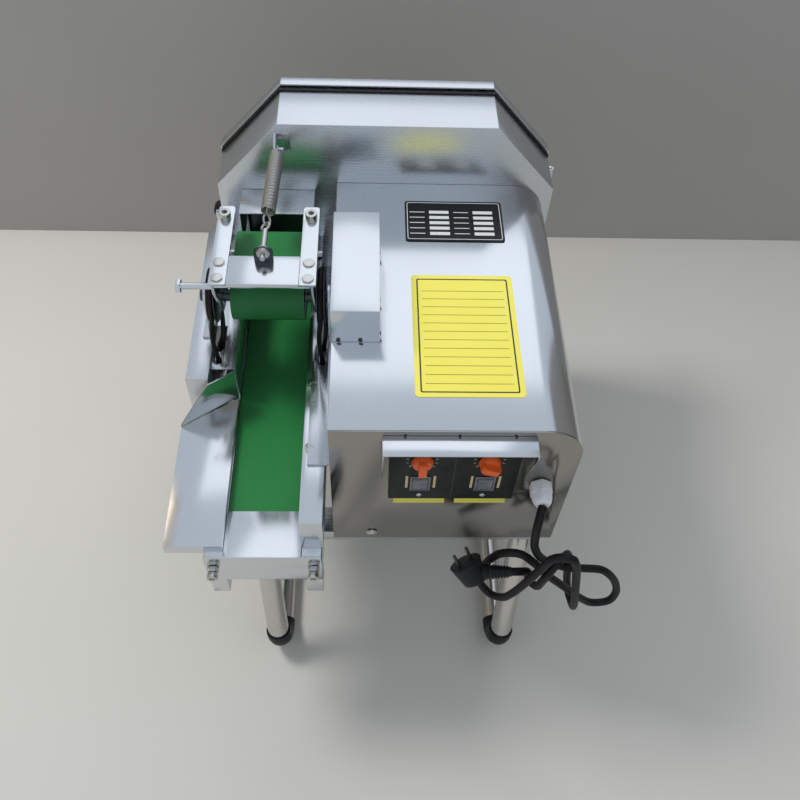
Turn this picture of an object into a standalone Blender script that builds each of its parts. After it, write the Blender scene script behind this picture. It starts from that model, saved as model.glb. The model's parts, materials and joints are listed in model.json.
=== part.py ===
"""Table-top vegetable cutter: a feed belt and a sprung press belt push the food through
a mouth into a turning blade disc. Metres, +Z up, +Y away from the feeding end.

Machine coordinates: x from the motor cabinet's left side, y from its front panel and
z from the floor. An empty moves them so that the origin is under the middle of the machine.
"""

from math import atan2, cos, hypot, pi, radians, sin, sqrt, tan

import bmesh
import bpy
from mathutils import Matrix, Vector

# Clearances and sheet
GAP = 0.0003
SHEET = 0.0015
PLATE = 0.0030
RUNNING = 0.0004

# Motor cabinet
CABINET_WIDTH = 0.2330
CABINET_LENGTH = 0.3305
CABINET_HEIGHT = 0.2030
CABINET_CORNER = 0.0380
GROUND_CLEARANCE = 0.2130
CABINET_TOP = GROUND_CLEARANCE + CABINET_HEIGHT
VENTS = 6
VENT_PITCH = 0.0120
VENT_WIDTH = 0.0050
VENT_LENGTH = 0.0650
VENT_FRONT = 0.1000
VENT_EDGE = 0.0180

# Octagonal cutter housing behind the cabinet. A larger housing stands a little further right
HOUSING_HALF = 0.1864
HOUSING_CORNER_X = 0.0711
HOUSING_CORNER_Z = 0.0790
HOUSING_SHARE = 0.3
HOUSING_ASIDE = 0.00122
HOUSING_X = HOUSING_HALF * HOUSING_SHARE - HOUSING_ASIDE
HOUSING_Z = 0.3040
HOUSING_DEPTH = 0.0650
HOUSING_FRONT = CABINET_LENGTH + GAP
HOUSING_BACK = HOUSING_FRONT + HOUSING_DEPTH
OUTLET_MARGIN = 0.0040
LID_OVERHANG = 0.0030
LID_DEPTH = 0.0125
LID_FRONT = HOUSING_BACK + GAP
LID_BACK = LID_FRONT + LID_DEPTH
LID_HALF = HOUSING_HALF + LID_OVERHANG

# The lid's hinges and hand screw
HINGE_RADIUS = 0.0045
HINGE_PIN = 0.0020
HINGE_HALF = 0.0100
HINGE_LEAF = 0.0020
HINGE_LEAF_REACH = 0.0260
KNUCKLE_LENGTH = 0.0197
HINGE_STRAP = 0.0030
HINGE_X = HOUSING_X + LID_HALF + HINGE_RADIUS + 0.0010
SHOULDER = HOUSING_HALF - HOUSING_CORNER_Z
LOW_HINGE_FROM_SHOULDER = 0.0374
HIGH_HINGE_FROM_SHOULDER = 0.0524
HINGE_HEIGHTS = (
    HOUSING_Z - SHOULDER + LOW_HINGE_FROM_SHOULDER,
    HOUSING_Z + SHOULDER - HIGH_HINGE_FROM_SHOULDER,
)
HAND_SCREW_X = HOUSING_X - LID_HALF - 0.0130
HAND_SCREW_RADIUS = 0.0030
HAND_SCREW_OUT = 0.0100
HAND_KNOB_RADIUS = 0.0110
LUG_HALF = 0.0100
LUG_REACH = 0.0060
LUG_THICKNESS = 0.0030
SCREW_SLOT_HALF = 0.0040

# Blade disc, its shaft, bearing and motor
DISC_RIM_CLEARANCE = 0.0159
DISC_RADIUS = HOUSING_HALF - SHEET - DISC_RIM_CLEARANCE
DISC_THICKNESS = 0.0060
DISC_CLEARANCE = 0.0030
HUB_RADIUS = 0.0260
HUB_LENGTH = 0.0100
HUB_NUT = 0.0300
HUB_NUT_THICKNESS = 0.0090
BLADE_THICKNESS = 0.0025
BLADE_WIDTH = 0.0300
BLADE_INNER = 0.0560
BLADE_EDGE = 0.0060
BLADE_RIM = 0.0060
BLADE_BOW = 0.0120
BLADE_SCREW_RADIUS = 0.0026
BLADE_SCREW_SHARES = (0.22, 0.50, 0.78)
CUTTER_SHAFT_RADIUS = 0.0100
BEARING_NECK = 0.0190
BEARING_BODY = 0.0240
BEARING_FLANGE = 0.0330
BEARING_DEPTH = 0.0140
BEARING_STEP = 0.0080
CUTTER_MOTOR_ROOM = 0.0097
CUTTER_MOTOR_RADIUS = HOUSING_X - CUTTER_MOTOR_ROOM
CUTTER_MOTOR_LENGTH = 0.1020
CUTTER_MOTOR_FROM_BACK = 0.0245
CUTTER_MOTOR_BACK = CABINET_LENGTH - CUTTER_MOTOR_FROM_BACK
CUTTER_MOTOR_FRONT = CUTTER_MOTOR_BACK - CUTTER_MOTOR_LENGTH

# Feed conveyor
CHANNEL_X = -0.0651
CHANNEL_WIDTH = 0.0745
BELT_WIDTH = 0.0730
BELT_THICKNESS = 0.0020
BELT_LEVEL = 0.2860
ROLLER_RADIUS = 0.0180
ROLLER_SHAFT_RADIUS = 0.0060
ROLLER_END_PLAY = 0.0012
FRONT_ROLLER_Y = -0.0330
DRIVE_ROLLER_FROM_HOUSING = 0.0258
DRIVE_ROLLER_Y = HOUSING_FRONT - DRIVE_ROLLER_FROM_HOUSING
CONVEYOR_FRONT = -0.0580
CONVEYOR_SIDE_OUT = 0.0190
CONVEYOR_BOTTOM = 0.2395
CONVEYOR_WALL = 0.0020
CONVEYOR_LIP = 0.0100
COVER_PLATE_BACK = -0.0090
FOOT_BOTTOM = 0.2070
FOOT_LENGTH = 0.0200
SPROCKET_RADIUS = 0.0105
TENSION_BOLT_RADIUS = 0.0030
TENSION_BOLT_OUT = 0.0120
TENSION_BOLT_Z = 0.2660
TENSION_BOLT_IN = 0.0075
TENSION_NUT = 0.0100
BOLT_HEAD = 0.0055
SOCKET = 0.0050
CHANNEL_LEFT = CHANNEL_X - CHANNEL_WIDTH / 2
CHANNEL_RIGHT = CHANNEL_X + CHANNEL_WIDTH / 2
CONVEYOR_LEFT = CHANNEL_LEFT - CONVEYOR_SIDE_OUT
CONVEYOR_RIGHT = CHANNEL_RIGHT + CONVEYOR_SIDE_OUT
ROLLER_Z = BELT_LEVEL - BELT_THICKNESS - ROLLER_RADIUS

# The mouth through the housing's front wall, and the small hood over it
MOUTH_HALF = 0.0378
MOUTH_TOP = 0.3830
HOOD_HALF = 0.0404
HOOD_RISE = 0.0220
HOOD_REACH = 0.0398

# Press unit over the belt
PRESS_FROM_HOUSING = 0.1508
PRESS_AXIS_Y = HOUSING_FRONT - PRESS_FROM_HOUSING
PRESS_AXIS_Z = 0.3950
PRESS_ROLLER_RADIUS = 0.0225
PRESS_ROLLER_SPACING = 0.0580
PRESS_TOP = 0.4500
PRESS_HALF = 0.0505
PRESS_LEFT = CHANNEL_X - PRESS_HALF
PRESS_RIGHT = CHANNEL_X + PRESS_HALF
ARM_WIDTH = 0.0160
ARM_FRONT = 0.0370
ARM_BACK = 0.0580
ARM_WEB = 0.0025
ARM_NOSE = 0.0120
ARM_CHIN = 0.0130
ARM_TAIL = 0.0100
ARM_BOLTS = (-0.0240, -0.0040)
ARM_BOLT_ACROSS = 0.0130
ARM_WASHER = 0.0080
POST_RADIUS = 0.0052
POST_HEAD = 0.0065
POST_SOCKET = 0.0060
CROSS_PLATE_LENGTH = 0.0380
CROSS_PLATE_THICKNESS = 0.0035
LIFTING_BOLT_RADIUS = 0.0032
LIFTING_BOLT_LENGTH = 0.0270
LIFTING_BOLT_ACROSS = 0.0120
UPRIGHT_HALF = 0.0130

# The eye bolt, the spring and the ear that holds it
TAB_HALF = 0.0110
TAB_THICKNESS = 0.0025
TAB_Y = PRESS_AXIS_Y - 0.0100
EYE_Z = PRESS_TOP + 0.0110
EYE_RADIUS = 0.0024
EYE_LOOP = 0.0060
EYE_RING = 0.0050
EYE_WIRE = 0.0022
EYE_NUT = 0.0100
EYE_LOOP_Y = PRESS_AXIS_Y + 0.0280
SPRING_RADIUS = 0.0055
SPRING_WIRE = 0.0011
SPRING_TURNS = 16
SPRING_HOOK = 0.0140
ANCHOR_X = -0.0600
ANCHOR_REACH = 0.0128
ANCHOR_FROM_TOP = 0.0214
ANCHOR_HALF = 0.0120
ANCHOR_PIN = 0.0020
ANCHOR_THICKNESS = 0.0025
SPRING_ANCHOR = (ANCHOR_X, HOUSING_FRONT - ANCHOR_REACH, HOUSING_Z + HOUSING_HALF - ANCHOR_FROM_TOP)

# Crossed round belts from the feed drive up to the press unit
LOWER_PULLEY_FROM_PRESS = 0.0250
LOWER_PULLEY_Y = PRESS_AXIS_Y - LOWER_PULLEY_FROM_PRESS
LOWER_PULLEY_Z = 0.3220
SMALL_PULLEY_RADIUS = 0.0120
LARGE_PULLEY_RADIUS = 0.0270
PULLEY_RIM = 0.0010
ROUND_BELT_RADIUS = 0.0025
BELT_SEAT = 2 * GAP
PULLEY_WIDTH = 0.0080
PULLEY_ROOM = 0.0015
UPRIGHT_GAP = 0.0022

# Feed table, guide plate, drive guard and side shelf, left of the belt
FEED_TABLE_WIDTH = 0.0545
FEED_TABLE_RISE = 0.0100
TABLE_TOP = BELT_LEVEL + FEED_TABLE_RISE
TABLE_LEFT = CHANNEL_LEFT - FEED_TABLE_WIDTH - SHEET
FLANGE = 0.0095
GUARD_TOP = 0.3360
GUARD_BOTTOM = 0.2520
GUARD_RISE = 0.0060
GUARD_WIDTH = 0.0230
GUARD_FROM_CHANNEL = 0.0255
DRIVE_GUARD_RIGHT = CHANNEL_LEFT - GUARD_FROM_CHANNEL
DRIVE_GUARD_LEFT = DRIVE_GUARD_RIGHT - GUARD_WIDTH
DRIVE_GUARD_FRONT = PRESS_AXIS_Y - 0.0670
GUIDE_FRONT = PRESS_AXIS_Y - 0.0945
GUIDE_BACK = PRESS_AXIS_Y - 0.0560
SHELF_SLOT_FRONT = PRESS_AXIS_Y - 0.0420
LEFT_PULLEY_X = DRIVE_GUARD_RIGHT + 0.0065
RIGHT_PULLEY_X = CHANNEL_RIGHT + 0.0153

# Side rail and press bracket, right of the belt
RAIL_WIDTH = 0.0215
RAIL_FRONT = -0.0480
RAIL_LIP = 0.0120
RAIL_SLOT_FRONT = PRESS_AXIS_Y - 0.0460
BRACKET_INSET = 0.0050
BRACKET_RIGHT = -0.0016
BRACKET_FRONT = 0.0140
BRACKET_TAIL = 0.0200

# Feed gearmotor and drive cover
GEARBOX_LEFT = 0.0035
GEARBOX_WIDTH = 0.0400
GEARBOX_HALF = 0.0380
GEARBOX_DROP = 0.0450
FEED_MOTOR_RADIUS = 0.0360
FEED_MOTOR_LENGTH = 0.0790
FEED_SHAFT_END = 0.0210
CHAIN_HEIGHT = 0.0045
CHAIN_HALF = 0.0030
DRIVE_COVER_WIDTH = 0.0460
DRIVE_COVER_HEIGHT = 0.0430
DRIVE_COVER_FRONT = PRESS_AXIS_Y - 0.0780
DRIVE_COVER_BACK = PRESS_AXIS_Y + 0.0550

# Controls on the front panel
PANEL_WIDTH = 0.0600
PANEL_HEIGHT = 0.0967
PANEL_SPACE = 0.0020
PANEL_FACE = 0.0035
PANEL_BODY = 0.0400
PANEL_FROM_TOP = 0.1117
PANEL_BOTTOM = CABINET_TOP - PANEL_FROM_TOP
PANEL_LEFT = (CABINET_WIDTH - PANEL_SPACE) / 2 - PANEL_WIDTH
PANEL_RIGHT = PANEL_LEFT + 2 * PANEL_WIDTH + PANEL_SPACE
CONTROL_HOOD_OUT = 0.0215
CONTROL_HOOD_HEIGHT = 0.0700
CONTROL_HOOD_TOP = CABINET_TOP - 0.0057
CONTROL_HOOD_LOW = CONTROL_HOOD_TOP - CONTROL_HOOD_HEIGHT
KNOB_RADIUS = 0.0092
KNOB_OUT = 0.0065
GRIP_OUT = 0.0135
GRIP_HALF = 0.0037
KNOB_RISE = 0.0695
SWITCH_RISE = 0.0292
SWITCH_WIDTH = 0.0150
SWITCH_HEIGHT = 0.0205
GLAND_ASIDE = 0.00275
GLAND_X = (PANEL_RIGHT + CABINET_WIDTH) / 2 - GLAND_ASIDE
GLAND_Z = CABINET_TOP - 0.0890
GLAND_THREAD = 0.0070
GLAND_FLANGE = 0.0118
GLAND_BODY = 0.0100
GLAND_OUT = 0.0240

# Sled legs and the bars they are fixed to
LEG_TUBE_RADIUS = 0.0125
LEG_BEND = 0.0240
LEG_STEPS = 5
SLEEVE_REACH = 0.0200
RUBBER_THICKNESS = 0.0018
FLAT_UNDERSIDE = 0.0007
LEG_FLOOR = LEG_TUBE_RADIUS + RUBBER_THICKNESS - FLAT_UNDERSIDE
LEG_TOP_FRONT = 0.0220
LEG_TOP_BACK = CABINET_LENGTH - 0.0405
LEG_SPREAD_LEFT = -0.0740
LEG_SPREAD_RIGHT = CABINET_WIDTH - 0.0310
LEG_FRONT = -0.0400
LEG_BACK = LEG_TOP_BACK + 0.0580
FOOT_BAR_TOP = GROUND_CLEARANCE - GAP
BAR_HEIGHT = 0.0180
BAR_HALF = 0.0150
BAR_OVERHANG = 0.0180
BAR_WALL = 0.0020

# Power cord and plug
CORD_RADIUS = 0.0043
CORD_SPACING = 0.0160
PLUG_RADIUS = 0.0180
PLUG_DEPTH = 0.0240
PLUG_REACH = 0.0420
PRONG_LENGTH = 0.0180
PRONG_HALF = 0.0030

# The cord's route from the gland's mouth, chosen by hand: down, a loose tied bundle, the plug
CORD_ROUTE = [
    (0.0000, 0.0000, 0.0000), (-0.0052, -0.0158, -0.0094), (-0.0048, -0.0187, -0.0289),
    (-0.0021, -0.0177, -0.0486), (0.0036, -0.0162, -0.0677), (0.0118, -0.0133, -0.0857),
    (0.0238, -0.0113, -0.1012), (0.0426, -0.0139, -0.1071), (0.0618, -0.0124, -0.1123),
    (0.0808, -0.0118, -0.1170), (0.0946, -0.0127, -0.1313), (0.1037, -0.0140, -0.1490),
    (0.1081, -0.0155, -0.1683), (0.1039, -0.0170, -0.1873), (0.0857, -0.0182, -0.1897),
    (0.0713, -0.0193, -0.1762), (0.0596, -0.0205, -0.1600), (0.0481, -0.0217, -0.1437),
    (0.0366, -0.0227, -0.1274), (0.0243, -0.0228, -0.1116), (0.0131, -0.0224, -0.0950),
    (0.0015, -0.0216, -0.0788), (-0.0134, -0.0177, -0.0669), (-0.0308, -0.0138, -0.0732),
    (-0.0399, -0.0115, -0.0908), (-0.0450, -0.0103, -0.1101), (-0.0470, -0.0098, -0.1299),
    (-0.0444, -0.0115, -0.1496), (-0.0325, -0.0198, -0.1610), (-0.0212, -0.0289, -0.1487),
    (-0.0159, -0.0334, -0.1300), (-0.0109, -0.0359, -0.1108), (-0.0058, -0.0372, -0.0915),
    (-0.0004, -0.0377, -0.0723), (0.0056, -0.0377, -0.0532), (0.0119, -0.0382, -0.0343),
    (0.0284, -0.0407, -0.0297), (0.0360, -0.0417, -0.0478), (0.0399, -0.0418, -0.0674),
    (0.0434, -0.0417, -0.0871), (0.0469, -0.0413, -0.1068), (0.0506, -0.0393, -0.1263),
    (0.0545, -0.0360, -0.1456), (0.0582, -0.0314, -0.1647), (0.0614, -0.0241, -0.1830),
    (0.0598, -0.0070, -0.1868), (0.0557, -0.0010, -0.1687), (0.0522, -0.0008, -0.1490),
    (0.0489, -0.0017, -0.1293), (0.0451, -0.0042, -0.1099), (0.0408, -0.0087, -0.0909),
    (0.0353, -0.0151, -0.0728), (0.0242, -0.0270, -0.0644), (0.0148, -0.0339, -0.0796),
    (0.0119, -0.0332, -0.0993), (0.0099, -0.0294, -0.1188), (0.0035, -0.0181, -0.1260),
    (0.0010, -0.0195, -0.1080), (-0.0040, -0.0231, -0.0960), (-0.0110, -0.0252, -0.0924),
    (-0.0198, -0.0252, -0.0924),
]

# The machine's ends without its cord
LEFT_END = min(TABLE_LEFT, HAND_SCREW_X - HAND_KNOB_RADIUS)
RIGHT_END = HINGE_X + HINGE_RADIUS
FRONT_END = CONVEYOR_FRONT - SHEET - TENSION_BOLT_OUT
BACK_END = LID_BACK + HAND_SCREW_OUT

# Colours and finishes: base colour, roughness, metallic
FINISHES = {
    "brushed_steel": ((0.62, 0.65, 0.68, 1.0), 0.32, 1.0),
    "polished_steel": ((0.72, 0.74, 0.76, 1.0), 0.15, 1.0),
    "green_belt": ((0.035, 0.22, 0.075, 1.0), 0.45, 0.0),
    "black_rubber": ((0.015, 0.015, 0.016, 1.0), 0.60, 0.0),
    "black_plastic": ((0.012, 0.012, 0.014, 1.0), 0.35, 0.0),
    "orange_plastic": ((0.80, 0.16, 0.02, 1.0), 0.35, 0.0),
    "grey_plastic": ((0.30, 0.32, 0.33, 1.0), 0.30, 0.0),
    "white_plastic": ((0.80, 0.80, 0.78, 1.0), 0.40, 0.0),
    "motor_paint": ((0.10, 0.12, 0.14, 1.0), 0.50, 0.0),
}

# Facets round the turned pieces
STEPS = 20


def clear_scene():
    for old in list(bpy.data.objects):
        bpy.data.objects.remove(old)


def finish_material(finish):
    """One Principled material for each finish, made at its first use."""
    if finish in bpy.data.materials:
        return bpy.data.materials[finish]
    colour, roughness, metallic = FINISHES[finish]
    material = bpy.data.materials.new(finish)
    material.use_nodes = True
    shader = material.node_tree.nodes["Principled BSDF"]
    shader.inputs["Base Color"].default_value = colour
    shader.inputs["Roughness"].default_value = roughness
    shader.inputs["Metallic"].default_value = metallic
    material.diffuse_color = colour
    return material


def object_from(name, bm, finish, smooth=False):
    """A closed mesh, facing out, as a named object under the machine's empty."""
    bmesh.ops.remove_doubles(bm, verts=bm.verts, dist=1e-7)
    bmesh.ops.recalc_face_normals(bm, faces=bm.faces)
    mesh = bpy.data.meshes.new(name)
    bm.to_mesh(mesh)
    bm.free()
    if smooth:
        mesh.shade_smooth()
        mesh.set_sharp_from_angle(angle=radians(35))
    mesh.materials.append(finish_material(finish))
    piece = bpy.data.objects.new(name, mesh)
    bpy.context.scene.collection.objects.link(piece)
    piece.parent = MACHINE
    return piece


def along(axis, flat, t):
    """A point of an outline at the distance t along the axis it is extruded or turned on."""
    a, b = flat
    if axis == "X":
        return (t, a, b)
    if axis == "Y":
        return (a, t, b)
    return (a, b, t)


def add_prism(bm, outline, axis, start, end):
    near = [bm.verts.new(along(axis, p, start)) for p in outline]
    far = [bm.verts.new(along(axis, p, end)) for p in outline]
    bm.faces.new(near)
    bm.faces.new(list(reversed(far)))
    for i in range(len(outline)):
        j = (i + 1) % len(outline)
        bm.faces.new((near[i], far[i], far[j], near[j]))


def prism(name, outline, axis, start, end, finish="brushed_steel", smooth=False):
    bm = bmesh.new()
    add_prism(bm, outline, axis, start, end)
    return object_from(name, bm, finish, smooth)


def rectangle(a0, a1, b0, b1):
    return [(a0, b0), (a1, b0), (a1, b1), (a0, b1)]


def block(name, x, y, z, finish="brushed_steel"):
    """A box from the low and high value on each axis."""
    return prism(name, rectangle(*x, *y), "Z", *z, finish)


def turned(name, profile, axis, centre, finish="polished_steel", steps=STEPS):
    """A solid of revolution. The profile is (radius, distance along the axis), from one end
    to the other; it closes on the axis, or on itself where no radius is zero."""
    bm = bmesh.new()
    rings = []
    for radius, t in profile:
        count = 1 if radius == 0 else steps
        ring = []
        for i in range(count):
            turn = 2 * pi * i / steps
            a = centre[0] + radius * cos(turn)
            b = centre[1] + radius * sin(turn)
            ring.append(bm.verts.new(along(axis, (a, b), t)))
        rings.append(ring)
    hollow = all(radius > 0 for radius, _ in profile)
    pairs = list(zip(rings, rings[1:]))
    if hollow:
        pairs.append((rings[-1], rings[0]))
    for one, two in pairs:
        for i in range(steps):
            j = (i + 1) % steps
            corners = [one[i % len(one)], one[j % len(one)], two[j % len(two)], two[i % len(two)]]
            bm.faces.new(list(dict.fromkeys(corners)))
    return object_from(name, bm, finish, smooth=True)


def rod(name, axis, centre, radius, start, end, finish="polished_steel", steps=STEPS):
    return turned(name, [(0, start), (radius, start), (radius, end), (0, end)], axis, centre, finish, steps)


def hexagon(centre, across, turn=0.0):
    radius = across / sqrt(3)
    return [
        (centre[0] + radius * cos(turn + i * pi / 3), centre[1] + radius * sin(turn + i * pi / 3))
        for i in range(6)
    ]


def with_modifier(piece, tool, operation):
    """Cuts the tool from the piece, or joins it on; the tool itself is only a guide."""
    change = piece.modifiers.new(operation.title(), "BOOLEAN")
    change.operation = operation
    change.object = tool
    tool.hide_render = True
    tool.display_type = "WIRE"
    return piece


def cut(piece, *tools):
    for tool in tools:
        with_modifier(piece, tool, "DIFFERENCE")
    return piece


def join(piece, *tools):
    for tool in tools:
        with_modifier(piece, tool, "UNION")
    return piece


def origin_on(piece, point):
    """Puts the piece's origin on a point, such as one on its joint's axis."""
    piece.data.transform(Matrix.Translation(-Vector(point)))
    piece.location = point
    return piece


def rounded_path(corners, radius, steps=6):
    """The corners of a bent tube's centre line, each rounded by an arc."""
    points = [Vector(corners[0])]
    for before, corner, after in zip(corners, corners[1:], corners[2:]):
        corner = Vector(corner)
        into = (corner - Vector(before)).normalized()
        out = (Vector(after) - corner).normalized()
        half = into.angle(out) / 2
        reach = radius * tan(half)
        centre = corner + (out - into).normalized() * (radius / cos(half))
        first = corner - into * reach - centre
        normal = into.cross(out).normalized()
        for i in range(steps + 1):
            points.append(centre + Matrix.Rotation(2 * half * i / steps, 3, normal) @ first)
    points.append(Vector(corners[-1]))
    return points


def bent_tube(name, points, radius, finish, sides=12, cyclic=False):
    """A round bar along the points, with closed ends, or a closed loop of it."""
    points = [Vector(p) for p in points]
    count = len(points)
    across = Vector((1, 0, 0))
    bm = bmesh.new()
    rings = []
    for i, point in enumerate(points):
        before = points[i - 1] if i or cyclic else point
        after = points[(i + 1) % count] if i + 1 < count or cyclic else point
        forward = (after - before).normalized()
        across = across - forward * across.dot(forward)
        if across.length < 1e-3:
            across = forward.orthogonal()
        across.normalize()
        up = forward.cross(across)
        ring = []
        for k in range(sides):
            turn = 2 * pi * k / sides
            ring.append(bm.verts.new(point + (across * cos(turn) + up * sin(turn)) * radius))
        rings.append(ring)
    pairs = list(zip(rings, rings[1:]))
    if cyclic:
        pairs.append((rings[-1], rings[0]))
    else:
        bm.faces.new(rings[0])
        bm.faces.new(rings[-1])
    for one, two in pairs:
        for k in range(sides):
            j = (k + 1) % sides
            bm.faces.new((one[k], one[j], two[j], two[k]))
    return object_from(name, bm, finish, smooth=True)


def octagon(half, corner_x, corner_z):
    """The housing's outline: a square with its four corners cut, wider flats than slopes."""
    quarter = [(half - corner_x, half), (half, half - corner_z)]
    right = quarter + [(x, -z) for x, z in reversed(quarter)]
    outline = right + [(-x, z) for x, z in reversed(right)]
    return [(HOUSING_X + x, HOUSING_Z + z) for x, z in outline]


def cabinet_outline(inset):
    """The cabinet from the front: square at the top left, a large round corner at the top right."""
    left, right = inset, CABINET_WIDTH - inset
    low, top = GROUND_CLEARANCE, CABINET_TOP - inset
    radius = CABINET_CORNER - inset
    arc = [
        (right - radius + radius * sin(radians(9 * i)), top - radius + radius * cos(radians(9 * i)))
        for i in range(11)
    ]
    return [(left, low), (left, top)] + arc + [(right, low)]


def make_cabinet():
    outer = cabinet_outline(0)
    inner = cabinet_outline(SHEET)
    ring = outer + list(reversed(inner))
    cover = prism("body_cover", ring, "Y", SHEET + GAP, CABINET_LENGTH, smooth=True)
    shaft_hole = rod(
        "cut_feed_shaft_hole", "X", (LOWER_PULLEY_Y, LOWER_PULLEY_Z), ROLLER_SHAFT_RADIUS + 0.003,
        -0.01, 0.01,
    )
    cut(cover, shaft_hole)

    panel = prism("front_panel", outer, "Y", 0, SHEET)
    pocket = block(
        "cut_control_window",
        (PANEL_LEFT + 0.004, PANEL_RIGHT - 0.004),
        (-0.01, 0.01),
        (PANEL_BOTTOM + 0.006, PANEL_BOTTOM + PANEL_HEIGHT - 0.006),
    )
    gland_hole = rod("cut_gland_hole", "Y", (GLAND_X, GLAND_Z), GLAND_THREAD + GAP, -0.01, 0.01)
    cut(panel, pocket, gland_hole)

    floor_plate = block(
        "base_plate",
        (SHEET + GAP, CABINET_WIDTH - SHEET - GAP),
        (SHEET + GAP, CABINET_LENGTH),
        (GROUND_CLEARANCE, GROUND_CLEARANCE + PLATE),
    )
    vents = [
        block(
            f"cut_vent_{i}",
            (CABINET_WIDTH - VENT_EDGE - VENT_LENGTH, CABINET_WIDTH - VENT_EDGE),
            (VENT_FRONT + VENT_PITCH * i, VENT_FRONT + VENT_PITCH * i + VENT_WIDTH),
            (GROUND_CLEARANCE - 0.01, GROUND_CLEARANCE + 0.01),
        )
        for i in range(VENTS)
    ]
    cut(floor_plate, *vents)


def make_controls():
    panel = block(
        "control_panel", (PANEL_LEFT, PANEL_RIGHT), (-PANEL_FACE, -GAP),
        (PANEL_BOTTOM, PANEL_BOTTOM + PANEL_HEIGHT), "black_plastic",
    )
    box_behind = block(
        "join_controller_bodies", (PANEL_LEFT + 0.005, PANEL_RIGHT - 0.005), (-0.001, PANEL_BODY),
        (PANEL_BOTTOM + 0.008, PANEL_BOTTOM + PANEL_HEIGHT - 0.008), "black_plastic",
    )
    join(panel, box_behind)
    for i in (0, 1):
        x = PANEL_LEFT + PANEL_WIDTH / 2 + i * (PANEL_WIDTH + PANEL_SPACE)
        knob_z = PANEL_BOTTOM + KNOB_RISE
        switch_z = PANEL_BOTTOM + SWITCH_RISE
        front = -PANEL_FACE
        knob = turned(
            f"speed_knob_{i + 1}",
            [
                (0, front - KNOB_OUT),
                (KNOB_RADIUS * 0.90, front - KNOB_OUT),
                (KNOB_RADIUS, front - KNOB_OUT * 0.75),
                (KNOB_RADIUS * 1.12, front - 0.0026),
                (KNOB_RADIUS * 1.12, front - 0.0008),
                (0.0030, front - 0.0008),
                (0.0030, front + 0.0025),
                (0, front + 0.0025),
            ],
            "Y", (x, knob_z), "orange_plastic", 24,
        )
        grip_outline = [
            (front - GRIP_OUT, knob_z + KNOB_RADIUS * 0.62), (front - GRIP_OUT, knob_z - KNOB_RADIUS * 0.85),
            (front - GRIP_OUT * 0.85, knob_z - KNOB_RADIUS * 1.03), (front - 0.0035, knob_z - KNOB_RADIUS * 1.05),
            (front - 0.0035, knob_z + KNOB_RADIUS * 0.95), (front - GRIP_OUT * 0.8, knob_z + KNOB_RADIUS * 0.88),
        ]
        pointer = prism(
            f"join_pointer_{i + 1}", grip_outline, "X", x - GRIP_HALF, x + GRIP_HALF, "orange_plastic"
        )
        join(knob, pointer)
        origin_on(knob, (x, front, knob_z))
        socket = rod(f"cut_knob_hole_{i + 1}", "Y", (x, knob_z), 0.0035, front - 0.01, front + 0.0040)
        half_w, half_h = SWITCH_WIDTH / 2, SWITCH_HEIGHT / 2
        window = block(
            f"cut_switch_window_{i + 1}", (x - half_w - GAP, x + half_w + GAP), (front - 0.01, front + 0.0085),
            (switch_z - half_h - GAP, switch_z + half_h + GAP),
        )
        cut(panel, socket, window)
        rocker_outline = [
            (front + 0.0040, switch_z - half_h * 0.7),
            (front + 0.0040, switch_z + half_h * 0.7),
            (front - 0.0004, switch_z + half_h * 0.96),
            (front - 0.0030, switch_z + half_h * 0.86),
            (front - 0.0006, switch_z),
            (front - 0.0012, switch_z - half_h * 0.90),
            (front - 0.0004, switch_z - half_h * 0.96),
        ]
        switch = prism(f"rocker_switch_{i + 1}", rocker_outline, "X", x - half_w, x + half_w, "grey_plastic")
        origin_on(switch, (x, front + 0.002, switch_z))

    hood_left, hood_right = PANEL_LEFT - 0.0075, PANEL_RIGHT + 0.0090
    hood_low, hood_top = CONTROL_HOOD_LOW, CONTROL_HOOD_TOP
    outer = rectangle(hood_left, hood_right, hood_low, hood_top)
    hood = prism("control_hood", outer, "Y", -CONTROL_HOOD_OUT, -GAP)
    hollow = block(
        "cut_hood_inside", (hood_left + SHEET, hood_right - SHEET), (-CONTROL_HOOD_OUT - 0.01, 0.01),
        (hood_low - 0.01, hood_top - SHEET),
    )
    lower_front = prism(
        "cut_hood_slope",
        [(-CONTROL_HOOD_OUT - 0.001, hood_low - 0.001), (-0.001, hood_low - 0.001), (-CONTROL_HOOD_OUT - 0.001, hood_top - 0.004)],
        "X", hood_left - 0.01, hood_right + 0.01,
    )
    cut(hood, hollow, lower_front)

    gland = turned(
        "cable_gland",
        [
            (CORD_RADIUS + 0.0007, 0.012),
            (GLAND_THREAD, 0.012),
            (GLAND_THREAD, -GAP),
            (GLAND_FLANGE, -GAP),
            (GLAND_FLANGE, -0.0055),
            (GLAND_BODY, -0.0065),
            (GLAND_BODY, 0.0040 - GLAND_OUT),
            (GLAND_BODY - 0.0022, -GLAND_OUT),
            (CORD_RADIUS + 0.0007, -GLAND_OUT),
        ],
        "Y", (GLAND_X, GLAND_Z), "white_plastic", 24,
    )
    return gland


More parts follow.
